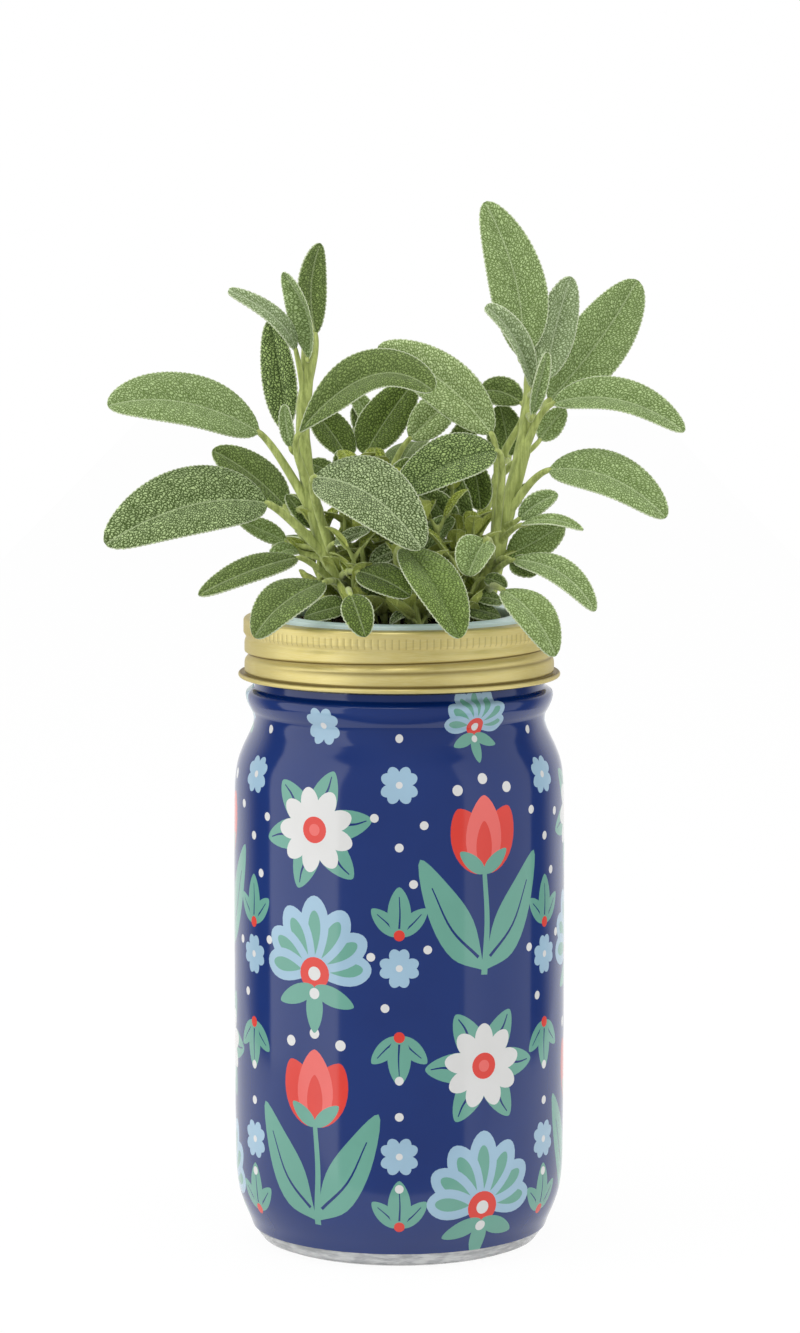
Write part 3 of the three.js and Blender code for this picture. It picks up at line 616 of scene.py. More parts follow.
def goldFinish():
    gold = Finish("gold_band", {
        "Metallic": 0.62, "IOR": 1.5, "Specular Tint": paint(96, 76, 20), "Anisotropic": 0.4,
        "Coat Weight": 0.3, "Coat Roughness": 0.24})
    at = gold.here()
    parts = gold.parts(at)
    angle = parts.maths("ARCTAN2", parts.out("Y"), parts.out("X"))
    height = parts.out("Z") * 1000
    strip = gold.node("ShaderNodeCombineXYZ", {}, {"X": angle * band["r"], "Y": height})  # band laid flat
    slant = gold.node("ShaderNodeMapping", {}, {
        "Vector": strip, "Rotation": (0, 0, 0.6), "Scale": (0.16, 2.6, 1)})
    brush = gold.grain(slant, 1.5, 4, 0.65)
    flat = gold.grain(gold.stretched(strip, (0.07, 2.4, 1)), 1.4, 3, 0.6)
    patch = gold.grain(at, 60, 2)
    # painted shade in the knurl grooves: a thin dark line at each tick
    turn = angle * (band["ticks"] / (2 * math.pi))
    tick = 1 - gold.smooth(turn.maths("PINGPONG", turn, 0.5), 0.06, 0.14)
    zone = gold.smooth(height, 170.9, 171.3) * (1 - gold.smooth(height, 173.7, 174.1))
    dark = gold.parts(gold.field("shade"))
    dark = dark.maths("MAXIMUM", dark, tick * zone * 0.26)
    tint = gold.mix(gold.smooth(patch, 0.3, 0.7), paint(228, 212, 140), paint(218, 201, 126))
    tint = gold.mix(gold.smooth(brush, 0.35, 0.7) * 0.4, tint, paint(236, 226, 174))
    # the painted shade of the creases, the foot and the knurl grooves darkens the gold toward brown
    tint = gold.mix(dark * 0.92, tint, paint(92, 70, 8))
    rough = 0.3 + 0.16 * brush + 0.08 * flat + 0.15 * dark
    return gold.dress(tint, rough, brush * 0.6 + flat * 0.5, 0.22, 0.0002)


outline = bandOutline()
points, faces = turned(outline, band["sides"], bandRelief)
# the painted shade of the creases and the foot, kept on the points for the gold finish
shade = bandCreaseShade(ringAngles(band["sides"])[None, :], outline)[1].ravel()
makePiece("band_gold", points, faces, [goldFinish()], "band", ["screw_band"],
          fields={"shade": np.column_stack([shade, shade * 0, shade * 0])})
print("screw band made")

# seal ring
seal = {
    "z": 173.8, "thick": 1.4, "r": 41.2, "mouthR": 31.5, "lipR": 37.4, "top": 176.9, "round": 0.45,
    "edge": 0.2, "groove": (36.2, 35.9, 35.3, 35), "grooveDepth": 0.22, "sides": 192,
}


def mouldedFinish(name, fixed, tones, cloud, pore, rough, bump):  # clouded colour, fine pores
    skin = Finish(name, fixed)
    at = skin.here()
    pores = skin.grain(at, *pore)
    tint = skin.mix(skin.grain(at, cloud, 2), *tones)
    return skin.dress(tint, rough[0] + rough[1] * pores, pores, *bump)


def sealOutline():  # flat flange with a raised, grooved lip
    c, top, lip, mouth, r = seal["round"], seal["top"], seal["lipR"], seal["mouthR"], seal["r"]
    low, e = seal["z"], seal["edge"]
    high = low + seal["thick"]
    line = [(mouth, low + e), (mouth + e, low), (r - e, low), (r, low + e), (r, high - e), (r - e, high),
            (lip + 0.15, high), (lip, high + 0.15)]
    line += arc(lip - c, top - c, c, 0, math.pi / 2, 5)
    line += zip(seal["groove"], (top, top - seal["grooveDepth"], top - seal["grooveDepth"], top))
    return line + arc(mouth + c, top - c, c, math.pi / 2, math.pi, 5)


points, faces = turned(sealOutline(), seal["sides"])
soft = mouldedFinish("pale_seal", {"Specular IOR Level": 0.5}, (paint(192, 217, 222), paint(212, 231, 235)),
                     70, (900, 2), (0.34, 0.16), (0.12, 0.0001))
makePiece("ring_seal", points, faces, [soft], "seal", ["seal_ring"])
print("seal ring made")

# net cup: shell on a grid with the slots left out
cup = {
    "r": 33.2, "flangeR": 41.2, "flangeZ": 172.3, "flangeT": 1.2, "wall": 1.3, "depth": 68, "taper": 6,
    "floorT": 2, "slots": 8, "foot": 9, "head": 10, "bridge": 5, "bar": 6, "floorSlot": 3.2, "wick": 24,
    "columns": 192, "slotColumns": 4, "slotRows": 9, "edge": 0.2, "footIn": 1.4, "floorIn": 1.2,
    "floorUp": 0.02, "strips": 41, "levels": (5, 64),
}
cupBottom = cup["flangeZ"] - cup["depth"]


def cupWall(z):  # radius of the tapered outside
    return cup["r"] - cup["taper"] * (cup["flangeZ"] - z) / cup["depth"]


def cupRing(r, z):
    return [(r * math.cos(a), r * math.sin(a), z) for a in ringAngles(cup["columns"])]


def cupShell():
    n, wall, step = cup["columns"], cup["wall"], cup["columns"] // cup["slots"]
    slotH = (cup["depth"] - cup["foot"] - cup["head"] - cup["bridge"]) / 2
    slotLow = [cupBottom + cup["foot"] + tier * (slotH + cup["bridge"]) for tier in (0, 1)]
    levels = [cupBottom + up for up in (cup["floorT"], *cup["levels"])] + [cup["flangeZ"]]
    levels += [z for low in slotLow for z in np.linspace(low, low + slotH, cup["slotRows"])]
    levels.sort()
    rows = len(levels)
    points = [p for z in levels for p in cupRing(cupWall(z), z)]
    points += [p for z in levels for p in cupRing(cupWall(z) - wall, z)]

    def openAt(i, j):
        middle = (levels[i] + levels[i + 1]) / 2
        for tier, low in enumerate(slotLow):
            if low < middle < low + slotH:
                near = (j + 0.5 - tier * step / 2 + step / 2) % step - step / 2
                return abs(near) < cup["slotColumns"] // 2
        return False

    def spot(skin, i, j):
        return (skin * rows + i) * n + j % n

    solid = {(i, j) for i in range(rows - 1) for j in range(n) if not openAt(i, j)}
    faces = []
    for i, j in sorted(solid):
        faces.append((spot(0, i, j), spot(0, i, j + 1), spot(0, i + 1, j + 1), spot(0, i + 1, j)))
        faces.append((spot(1, i, j), spot(1, i + 1, j), spot(1, i + 1, j + 1), spot(1, i, j + 1)))
        sides = (((i, j - 1), (i, j), (i + 1, j)), ((i, j + 1), (i + 1, j + 1), (i, j + 1)),
                 ((i - 1, j), (i, j + 1), (i, j)), ((i + 1, j), (i + 1, j), (i + 1, j + 1)))
        for (a, b), start, end in sides:  # slot edges
            if 0 <= a < rows - 1 and (a, b % n) not in solid:
                faces.append((spot(0, *start), spot(0, *end), spot(1, *end), spot(1, *start)))

    def chain(first, rings, last):  # strips from one ring over new ones to another
        for r, z in rings:
            points.extend(cupRing(r, z))
        starts = [first] + [len(points) - n * k for k in range(len(rings), 0, -1)] + [last]
        for low, high in zip(starts, starts[1:]):
            faces.extend((low + j, low + (j + 1) % n, high + (j + 1) % n, high + j) for j in range(n))

    e, inside, flange, low = cup["edge"], cup["r"] - wall, cup["flangeR"], cup["flangeZ"]
    top = low + cup["flangeT"]
    chain(spot(0, rows - 1, 0), [(flange - e, low), (flange, low + e), (flange, top - e), (flange - e, top),
                                 (inside + e, top), (inside, top - e)], spot(1, rows - 1, 0))
    foot = cupWall(cupBottom)
    chain(spot(1, 0, 0), [(foot - cup["footIn"], cupBottom), (foot, cupBottom)], spot(0, 0, 0))
    return points, faces


def cupFloor(points, faces):  # disc with two wick slots, as strips across the cup
    bottom = cupBottom + cup["floorUp"]
    radius, top = cupWall(bottom + 1) - cup["floorIn"], bottom + cup["floorT"]
    inner, outer = cup["bar"] / 2, cup["bar"] / 2 + cup["floorSlot"]
    ys = np.concatenate([np.linspace(-radius, radius, cup["strips"]), [-outer, -inner, inner, outer]])
    ys = sorted(set(np.round(ys, 4)))
    index, edges = {}, {}

    def spot(i, k, z):  # k counts the left rim, the slot's ends and middle, and the right rim
        reach = math.sqrt(max(radius * radius - ys[i] * ys[i], 0))
        x = (-reach, -cup["wick"] / 2, 0, cup["wick"] / 2, reach)[k]
        key = (round(max(-reach, min(reach, x)), 4), ys[i], z)
        if key not in index:
            index[key] = len(points)
            points.append(key)
        return index[key]

    for i, (low, high) in enumerate(zip(ys, ys[1:])):
        near, far = sorted((abs(low), abs(high)))
        slit = inner - 0.01 < near and far < outer + 0.01
        for j in (0, 3) if slit else range(4):
            for z, order in ((top, 1), (bottom, -1)):
                ring = [spot(i, j, z), spot(i, j + 1, z), spot(i + 1, j + 1, z), spot(i + 1, j, z)][::order]
                ring = [v for k, v in enumerate(ring) if v != ring[k - 1]]
                if len(set(ring)) > 2:
                    faces.append(tuple(ring))
                    if z == top:
                        edges.update(dict.fromkeys(zip(ring, ring[1:] + ring[:1])))
    lower = {points[v][:2]: v for key, v in index.items() if key[2] == bottom}
    faces += [(b, a, lower[points[a][:2]], lower[points[b][:2]]) for a, b in edges if (b, a) not in edges]


points, faces = cupShell()
cupFloor(points, faces)
plastic = mouldedFinish("dark_plastic", {"IOR": 1.46}, (paint(36, 39, 40), paint(48, 52, 52)),
                        55, (1400, 3), (0.42, 0.2), (0.2, 0.00015))
basket = makePiece("cup_basket", points, faces, [plastic], "cup", ["net_cup"])
basket.data.polygons.foreach_set("use_smooth", [False] * len(basket.data.polygons))
print("cup made")

# wick: felt strip folded over the floor bar
felt = {
    "wide": 22, "thick": 1.6, "gap": 0.3, "top": 107.4, "foot": 8.2, "sway": 0.9, "swayLength": 21,
    "swayFrom": (60, 100), "spread": 0.9, "spreadOver": (20, 80), "bend": 2, "rows": 44, "columns": 13,
}


def feltFinish():
    wool = Finish("felt", {"Sheen Weight": 0.4, "Sheen Roughness": 0.6, "Specular IOR Level": 0.2})
    at = wool.here()
    lint = wool.grain(wool.stretched(at, (1, 1, 0.3)), 1800, 5, 0.7)
    cloud = wool.grain(at, 160, 3)
    tint = wool.mix(lint, paint(206, 200, 186), paint(240, 237, 228))
    return wool.dress(tint, 0.82 + 0.15 * cloud, lint * 0.7 + cloud * 0.6, 0.6, 0.0004)


def wickStrip():
    top, bend, columns = felt["top"], felt["bend"], felt["columns"]
    out = cup["bar"] / 2 + felt["gap"] + felt["thick"] / 2
    tail = np.linspace(felt["foot"], top - bend, felt["rows"])
    loose = 1 - fade(tail, *felt["swayFrom"])
    sway = felt["sway"] * np.sin((top - bend - tail) / felt["swayLength"]) * loose
    hang = np.column_stack([-out - sway - felt["spread"] * fade(top - tail, *felt["spreadOver"]), tail])
    turn = arc(bend - out, top - bend, bend, math.pi - 0.15, math.pi / 2, 6)
    line = np.vstack([hang, turn])
    line = np.vstack([line, [(0, top)], (line * (-1, 1))[::-1]])
    normals = sideways(line)
    length = np.linalg.norm(np.diff(line, axis=0), axis=1).sum()
    points = [(x, y, z) for side in (-0.5, 0.5) for y, z in line + normals * felt["thick"] * side
              for x in np.linspace(-felt["wide"] / 2, felt["wide"] / 2, columns)]
    half = len(line) * columns
    faces = [f[::-1] for f in gridFaces(len(line), columns)] + gridFaces(len(line), columns, first=half)
    faces += [(b, a, a + half, b + half) for a, b in gridRim(len(line), columns)]
    return points, faces, length


points, faces, wickLength = wickStrip()
wick = makePiece("wick_felt", points, faces, [feltFinish()], "cup", ["wick"])
wickLength * mm
print("wick hung, cut length", round(wickLength))

# growing plug
coir = {
    "r": 31.05, "footR": 25.2, "foot": 108.5, "top": 174.6, "dome": 0.8, "rough": 0.7, "sideZ": 172,
    "sides": 120, "axisR": 0.1, "fibres": 170, "fibreR": 28, "edgeR": 30, "fibreLong": (1.5, 4.5),
    "fibreThick": (0.09, 0.2), "fibreBend": 0.7, "fibreRise": 0.9, "fibreUp": 0.1, "seed": 4,
    "brow": ((0, 173.0), (0, 173.6), (0.5, 174.2)), "crumbsOver": 174, "lumpsOver": 110, "lumps": 0.008,
}


def coirFinish():
    soil = Finish("coir", {"Specular IOR Level": 0.15})
    at = soil.here()
    crumb = soil.grain(at, 700, 6, 0.7)
    patch = soil.grain(at, 120, 3)
    dark = soil.mix(soil.smooth(crumb, 0.35, 0.7), paint(24, 16, 11), paint(74, 52, 36))
    tint = soil.mix(soil.smooth(patch, 0.5, 0.8) * 0.6, dark, paint(96, 70, 48))
    return soil.dress(tint, 0.85 + 0.13 * crumb, crumb + patch * 0.5, 0.9, 0.001)


def coirBlock():  # tapered block with a crumbly top
    r, footR, foot, top = coir["r"], coir["footR"], coir["foot"], coir["top"]
    outline = [(footR * s, foot) for s in np.linspace(0.02, 1, 6)]
    outline += [(footR + (r - 0.3 - footR) * s, foot + (coir["sideZ"] - foot) * s)
                for s in np.linspace(0.02, 1, 26)]
    outline += [(r - inset, z) for inset, z in coir["brow"]]
    outline += [((r - 1.3) * (1 - s), top + coir["dome"] * s) for s in np.linspace(0, 1, 34)[:-1]]
    outline += [(coir["axisR"], top + coir["dome"]), (coir["axisR"], foot)]
    points, faces = turned(outline, coir["sides"])
    for p in points:
        lumps = noise.fractal(Vector(p) * 0.32, 1.0, 2.0, 3)
        if p[2] > coir["crumbsOver"]:
            p[2] += coir["rough"] * lumps
        elif coir["lumpsOver"] < p[2] < coir["sideZ"]:
            p[:2] *= 1 - coir["lumps"] * abs(lumps)
    return list(points), faces


def looseFibres(points, faces):
    draw = random.Random(coir["seed"])
    for _ in range(coir["fibres"]):
        a, r = draw.uniform(0, 2 * math.pi), coir["fibreR"] * math.sqrt(draw.random())
        x, y = r * math.cos(a), r * math.sin(a)
        way, reach = draw.uniform(0, 2 * math.pi), draw.uniform(*coir["fibreLong"])
        bend = draw.uniform(-coir["fibreBend"], coir["fibreBend"])
        z = coir["top"] + coir["dome"] * (1 - r / coir["edgeR"]) + coir["fibreUp"]
        path = [(x + reach * s * math.cos(way + bend * s), y + reach * s * math.sin(way + bend * s),
                 z + coir["fibreRise"] * math.sin(math.pi * s)) for s in np.linspace(0, 1, 5)]
        if max(math.hypot(px, py) for px, py, _ in path) <= coir["edgeR"]:
            made, ring = tube(path, draw.uniform(*coir["fibreThick"]), 5, len(points))
            points += made
            faces += ring


points, faces = coirBlock()
looseFibres(points, faces)
makePiece("plug_coir", points, faces, [coirFinish()], "plant", ["growing_plug"])
print("plug made")

# sage plant: places are over the plug's top
sage = {
    "plugR": 29.9, "gap": 0.3, "stemR": 1.6, "sideR": 1.2, "root": 2.5, "width": (1.7, 1.0), "ridge": 0.09,
    "rings": 60, "sides": 24, "nodeSwell": 0.1, "nodeHalf": 0.02, "taper": (0.9, 0.65), "petioleSteps": 18,
    "fold": 0.2, "blunt": 0.47, "slim": 0.6, "thick": 0.42, "rowStep": 0.42, "leastRows": 14, "mostRows": 150,
    "toothPitch": 1.25, "tooth": 0.32, "leastHalf": 0.35, "darkRibs": ("lush", "shade"), "rim": 0.68,
    "youngRim": 0.34, "stalk": (0.62, 0.022), "tipShare": 0.9, "lowFine": 0.8, "lowStalk": 0.6,
}
leafShapes = {  # crease, rounder tip, or a base that runs out into the stalk
    "heart": {"fold": 0.7}, "right_arch": {"fold": 0.3}, "left_top_fold": {"fold": 0.6, "slim": 0.85},
    "right_curl": {"fold": 0.5, "blunt": 0.3}, "right_bud": {"fold": 0.5, "blunt": 0.35},
    "arch_front": {"fold": 0.3, "blunt": 0.33, "slim": 1.05}, "left_top_curl": {"blunt": 0.26},
    "left_bud": {"blunt": 0.35}, "mid_dark": {"blunt": 0.35}, "right_tall": {"slim": 0.72},
    "left_droop": {"slim": 0.7},
}
stemPaths = {
    "left": [(-10.5, -6), (-16.5, -8, 13.5), (-21, -8, 23), (-24.5, -7, 35.5), (-26.5, -5, 48),
             (-26.5, -3, 59), (-25.5, -1, 68.5), (-26.5, 0, 79)],
    "right": [(22, -4), (25, -6, 13), (27.5, -6, 23), (30.5, -5, 34), (33.5, -4, 45), (35.5, -2, 56),
              (36.5, 0, 65.5), (36, 2, 74.5)],
    "front": [(3, -14), (2.5, -16, 10), (0, -18, 15.5)],
    "back": [(-1, 12), (-2.5, 16, 16), (-6, 18, 33), (-8, 18, 43.5)],
    "rear_right": [(11.5, 12), (19.5, 16, 16), (25.5, 18, 33), (29.5, 18, 45.5)],
    "rear_left": [(-9.5, 10), (-14, 14, 16), (-16, 16, 33), (-16.5, 16, 41.5)],
}
stemWidth = {"left": (2.6, 1.6), "right": (2.6, 1.7)}  # radius at the foot and at the top
leafList = [  # name, stem, share up the stem, width, tone, then root, middle, tip, facing
    ("left_top", "left", 0.76, 8.8, "deep",
     (-23.3, 6, 79.5), (-24.4, 9, 92.5), (-22, 12, 104.5), (0.35, -0.9, 0.1)),
    ("left_top_fold", "left", 0.99, 8.6, "bright",
     (-25, -4.5, 73), (-26.3, -6.5, 85), (-32.1, -4, 96.8), (-0.7, -0.7, 0.1)),
    ("left_top_curl", "left", 0.8, 6.2, "grey",
     (-28.6, -5, 75.7), (-34.2, -10, 84.8), (-46.8, -12, 92.1), (0.2, -0.8, 0.6)),
    ("left_upright", "left", 0.63, 10, "shade",
     (-31.5, 0, 53), (-33.5, 4, 68.5), (-36, 6, 83.5), (-0.25, -0.95, 0.1)),
    ("left_bud", "left", 0.6, 4.2, "bright",
     (-30, -10, 49), (-31, -12, 55), (-31.5, -13, 61), (-0.2, -0.95, 0.1)),
    ("left_low", "left", 0.45, 17.8, "bright",
     (-38.8, -9, 53.2), (-59, -18, 62.4), (-79.2, -24, 61.1), (0.1, -0.8, 0.6)),
    ("left_rear", "left", 0.46, 13, "deep",
     (-32, 6, 31.5), (-41.5, 12, 40.4), (-52.5, 14, 46.5), (0.25, -0.8, 0.55)),
    ("left_mid", "left", 0.31, 22, "crisp",
     (-36.5, -14, 33.9), (-57, -26, 34.9), (-79.6, -32, 24.1), (0.05, -0.8, 0.6)),
    ("left_small", "left", 0.34, 7, "mid",
     (-31.5, 0, 22), (-38, -1, 25.5), (-45, -3, 28.5), (0.1, -0.8, 0.6)),
    ("left_curl", "left", 0.3, 6.5, "mid",
     (-28, -6, 20), (-32, -10, 20.5), (-36, -12, 16.5), (-0.1, -0.7, 0.7)),
    ("left_flat", "left", 0.18, 9, "deep",
     (-28, -18, 19.2), (-40.5, -30, 16.9), (-54.3, -36, 10.6), (0.1, -0.7, 0.7)),
    ("left_droop", "left", 0.21, 13.5, "deep",
     (-20.5, -29, 13.5), (-31.2, -42, 9.5), (-38.9, -44, 0), (-0.35, -0.85, 0.4)),
    ("arch_front", "left", 0.5, 14, "deep",
     (-27.6, -14, 53), (-8.2, -24, 70), (9, -30, 65.7), (0.15, -0.8, 0.6)),
    ("arch_rear", "right", 0.33, 14.8, "light",
     (25.5, 2, 52.1), (11.4, 6, 66.8), (-6, 10, 75.6), (-0.35, -0.85, 0.4)),
    ("mid_dark", "back", 0.93, 14, "dark",
     (-9.6, 22, 44.9), (-4.2, 26, 54.3), (4, 28, 64.8), (-0.35, -0.9, 0.2)),
    ("mid_dark_left", "rear_left", 0.93, 11.6, "dark",
     (-14.5, 20, 43.8), (-19, 24, 51.3), (-25, 26, 57.3), (0.5, -0.85, 0.2)),
    ("mid_pale", "back", 0.72, 11, "light",
     (3, 21, 49.5), (10, 21, 56.5), (16, 21, 63), (-0.1, -0.95, 0.2)),
    ("mid_right", "right", 0.3, 14.8, "shade",
     (26.5, -16, 48.5), (13, -24, 46), (-1, -28, 37), (-0.05, -0.85, 0.5)),
    ("front_big", "left", 0.27, 19.8, "pale",
     (-23, -20, 41.5), (-7.5, -36, 38.2), (6, -42, 23.7), (0.2, -0.9, 0.4)),
    ("front_tuft", "left", 0.32, 5, "pale",
     (-18, -15, 23), (-13, -19, 25.5), (-8, -23, 27), (-0.1, -0.8, 0.6)),
    ("front_low", "left", 0.24, 10, "dark",
     (-11, -25, 16), (-4.1, -36, 15), (3, -40, 10.8), (0.1, -0.9, 0.4)),
    ("front_droop", "front", 0.93, 14.6, "lush",
     (1.5, -30, 23), (10, -46, 14.5), (16.2, -52, 0.7), (0.35, -0.9, 0.3)),
    ("front_small", "left", 0.17, 8.5, "dark",
     (-13, -44, 11.5), (-11, -50, 7), (-9, -52, 1), (0, -0.95, 0.3)),
    ("heart", "right", 0.27, 10.2, "mid",
     (23.3, -30, 25), (20.3, -36, 21.5), (18.6, -38, 16), (-0.2, -0.95, 0.2)),
    ("right_tall", "right", 0.96, 16, "bright",
     (33.5, -4, 73.5), (32.4, -2, 94), (23.7, 4, 116), (0.1, -1, 0.1)),
    ("right_pale", "right", 0.88, 11.5, "grey",
     (40.5, -2, 67.5), (43.5, 0, 82), (47.5, 2, 95.5), (0.2, -0.95, 0.1)),
    ("right_wide", "right", 0.79, 17.5, "bright",
     (42, 10, 61), (56.2, 16, 77.5), (66.8, 22, 94), (0, -1, 0.1)),
    ("right_curl", "right", 0.83, 7, "grey",
     (36.5, -12, 65.5), (32, -18, 79.3), (23.5, -18, 88), (0.6, -0.75, 0.1)),
    ("right_bud", "right", 0.76, 4.5, "bright",
     (36.5, -14, 58), (38.5, -17.5, 67), (40.5, -17.5, 75.5), (0.3, -0.9, 0.1)),
    ("right_arch", "right", 0.65, 12.7, "bright",
     (42.5, -8, 61), (60.2, -14, 63), (77.9, -18, 53.8), (0.1, -0.75, 0.7)),
    ("right_low", "right", 0.46, 15, "bright",
     (41.4, -10, 42.8), (57.8, -20, 41.8), (72.5, -26, 30.8), (0.15, -0.8, 0.55)),
    ("right_twig_up", "right", 0.41, 6.5, "bright",
     (33, -12, 29.5), (38, -16, 34), (43.5, -18, 36.5), (0, -0.9, 0.4)),
    ("right_twig", "right", 0.36, 4.6, "mid",
     (33.5, -16, 28.2), (41.5, -24, 30.2), (50, -28, 27.6), (0, -0.7, 0.7)),
    ("right_dark", "right", 0.29, 11.1, "mid",
     (30, -4, 18.6), (38.5, -6, 23.3), (45.5, -8, 28), (0.1, -0.9, 0.4)),
    ("right_flat", "right", 0.24, 8.8, "bright",
     (31.5, -20, 18.7), (43.5, -34, 16.8), (52.8, -40, 6.7), (0.15, -0.85, 0.5)),
    ("right_tiny", "right", 0.27, 6.4, "deep",
     (30.7, -18, 18.6), (33.8, -20, 17), (37.4, -22, 14.8), (0.1, -0.95, 0.3)),
    ("right_droop", "right", 0.2, 12, "mid",
     (28.3, -34, 11.8), (36.5, -44, 5.9), (42, -44, -5), (0.35, -0.85, 0.4)),
    ("right_rear_top", "rear_right", 0.98, 9, "deep",
     (34.5, 24, 59.4), (28.5, 28, 62.5), (23, 30, 62), (-0.2, -0.9, 0.4)),
    ("right_rear_mid", "rear_right", 0.93, 11, "deep",
     (31, 25, 44), (30, 28.5, 51), (28.5, 31, 58.5), (-0.3, -0.95, 0.1)),
    ("right_rear_low", "rear_right", 0.86, 7.2, "mid",
     (39.4, 14, 49.5), (42.7, 18, 53.6), (46.8, 20, 58.1), (0.3, -0.9, 0.3)),
    ("rear_mid", "back", 0.77, 13, "deep",
     (-2, 26, 37.5), (2, 40, 44.5), (5, 52, 46.5), (0, 0.5, 0.85)),
    ("rear_left", "back", 0.59, 14, "deep",
     (-10, 26, 29.5), (-17, 40, 34.5), (-24, 52, 31.5), (-0.2, 0.5, 0.85)),
    ("rear_right", "rear_right", 0.62, 14, "deep",
     (23, 27, 28.5), (28, 40, 33.5), (33, 52, 30.5), (0.2, 0.5, 0.85)),
    ("rear_low_left", "rear_left", 0.51, 11, "deep",
     (-19, 24, 18.5), (-27, 34, 20.5), (-36, 44, 16.5), (-0.3, 0.4, 0.85)),
]
# lighter and darker copies of one sage finish, partly the leaves' own tone and partly painted light and
# shade: deep, dark and shade paint the shade on leaves inside and at the back of the plant
tones = {  # raised cells, furrows between them
    "light": (paint(198, 217, 159), paint(117, 139, 77)),
    "bright": (paint(170, 192, 133), paint(101, 123, 64)),
    "crisp": (paint(172, 193, 135), paint(59, 80, 23)),
    "mid": (paint(167, 190, 127), paint(103, 124, 63)),
    "lush": (paint(137, 162, 85), paint(75, 96, 34)),
    "deep": (paint(130, 151, 84), paint(74, 93, 39)),
    "shade": (paint(162, 186, 114), paint(52, 73, 24)),
    "dark": (paint(114, 137, 60), paint(60, 78, 21)),
    "grey": (paint(183, 201, 157), paint(112, 131, 83)),
    "pale": (paint(179, 197, 146), paint(60, 79, 29)),
    "young": (paint(186, 200, 88), paint(120, 134, 42)),
    "young_deep": (paint(156, 172, 62), paint(92, 106, 28)),
}


def leafFinish(name, cell, furrow):
    leaf = Finish("sage_" + name, {
        "Sheen Weight": 0.12, "Sheen Roughness": 0.4, "Specular IOR Level": 0.25})
    down = paint(220, 228, 196)  # of the pale hairs
    blade = leaf.field("blade")
    across = leaf.parts(blade)
    along, margin, side = across.out("Y"), across.out("Z"), abs(across)
    sway = leaf.grain(blade, 0.5, 2)
    onVein = side * 0.77 + along * 0.64
    offVein = along * 0.77 - side * 0.64 + sway * 2
    spot = leaf.node("ShaderNodeCombineXYZ", {}, {
        "X": onVein * 0.62 + sway * 0.8, "Y": offVein + (across > 0) * 40})
    net = {"Vector": spot, "Scale": 1.6, "Randomness": 0.85}
    cells = leaf.cells("DISTANCE_TO_EDGE", net, "2D")
    tint = leaf.cells("F1", net, "2D", "Color")
    # pale raised cells with dark furrows between them: partly the leaf's own pebbled colour, partly painted
    # shade in the furrows
    dome = leaf.smooth(cells, 0.02, 0.36)
    vein = 1 - leaf.smooth(offVein.maths("PINGPONG", offVein, 2.4), 0.0, 0.4)
    rib = (1 - leaf.smooth(side, 0.08, 0.32)) * leaf.smooth(margin + side, 0.8, 2.4)
    rim = 1 - leaf.smooth(margin, 0.1, 0.44)
    patch = leaf.grain(blade, 0.16, 3)
    fuzz = leaf.grain(blade, 5.5, 3, 0.7)
    # the sunken side veins are painted darker too: painted shade in their grooves
    skin = leaf.mix(dome * (0.55 + 0.9 * tint) - vein * 0.2, furrow, cell)
    skin = leaf.mix(leaf.smooth(patch, 0.4, 0.8) * 0.2, skin, furrow)
    skin = leaf.mix(leaf.smooth(fuzz, 0.5, 0.8) * 0.2, skin, paint(206, 214, 172))
    # tones listed in darkRibs get a dark midrib, which is painted shade in the midrib crease; the others get
    # a pale midrib of the leaf's own colour
    paleRib = tuple(0.7 * low + 0.3 * high for low, high in zip(cell, down))
    skin = leaf.mix(rib * 0.6, skin, furrow if name in sage["darkRibs"] else paleRib)
    rimShare = sage["youngRim" if name.startswith("young") else "rim"]
    skin = leaf.mix(rim * rimShare, skin, down)
    relief = dome - vein * 0.4 - rib * 0.5 + fuzz * 0.2
    return leaf.dress(skin, 0.86 - 0.16 * dome, relief, 0.6, 0.00045)


def underFinish(name, low, high, sheen):
    under = Finish(name, {"Sheen Weight": sheen, "Sheen Roughness": 0.5, "Specular IOR Level": 0.2})
    blade = under.field("blade")
    across = under.parts(blade)
    offVein = across.out("Y") * 0.77 - abs(across) * 0.64 + under.grain(blade, 0.55, 2) * 2.2
    vein = 1 - under.smooth(offVein.maths("PINGPONG", offVein, 2.3), 0.05, 0.45)
    mesh = 1 - under.smooth(under.cells("DISTANCE_TO_EDGE", {"Vector": blade, "Scale": 1.2}), 0.0, 0.2)
    fuzz = under.grain(blade, 6, 3, 0.7)
    skin = under.mix(vein * 0.6 + mesh * 0.35, low, high)
    skin = under.mix(fuzz * 0.2, skin, paint(214, 222, 180))
    relief = vein * 0.8 + mesh * 0.5 + fuzz * 0.3
    return under.dress(skin, 0.8 + 0.15 * fuzz, relief, 0.6, 0.0004)


def stemFinish():
    bark = Finish("stem_green", {"Sheen Weight": 0.3, "Sheen Roughness": 0.4, "Specular IOR Level": 0.3})
    at = bark.here()
    streak = bark.grain(bark.stretched(at, (1, 1, 0.12)), 900, 3, 0.6)
    patch = bark.grain(at, 130, 2)
    fuzz = bark.grain(at, 2600, 2)
    skin = bark.mix(bark.smooth(streak, 0.3, 0.7), paint(122, 136, 58), paint(178, 191, 108))
    skin = bark.mix(bark.smooth(patch, 0.45, 0.8) * 0.35, skin, paint(118, 132, 54))
    skin = bark.mix(fuzz * 0.16, skin, paint(224, 230, 184))
    return bark.dress(skin, 0.7 + 0.2 * streak, streak * 0.8 + fuzz * 0.4, 0.5, 0.0003)


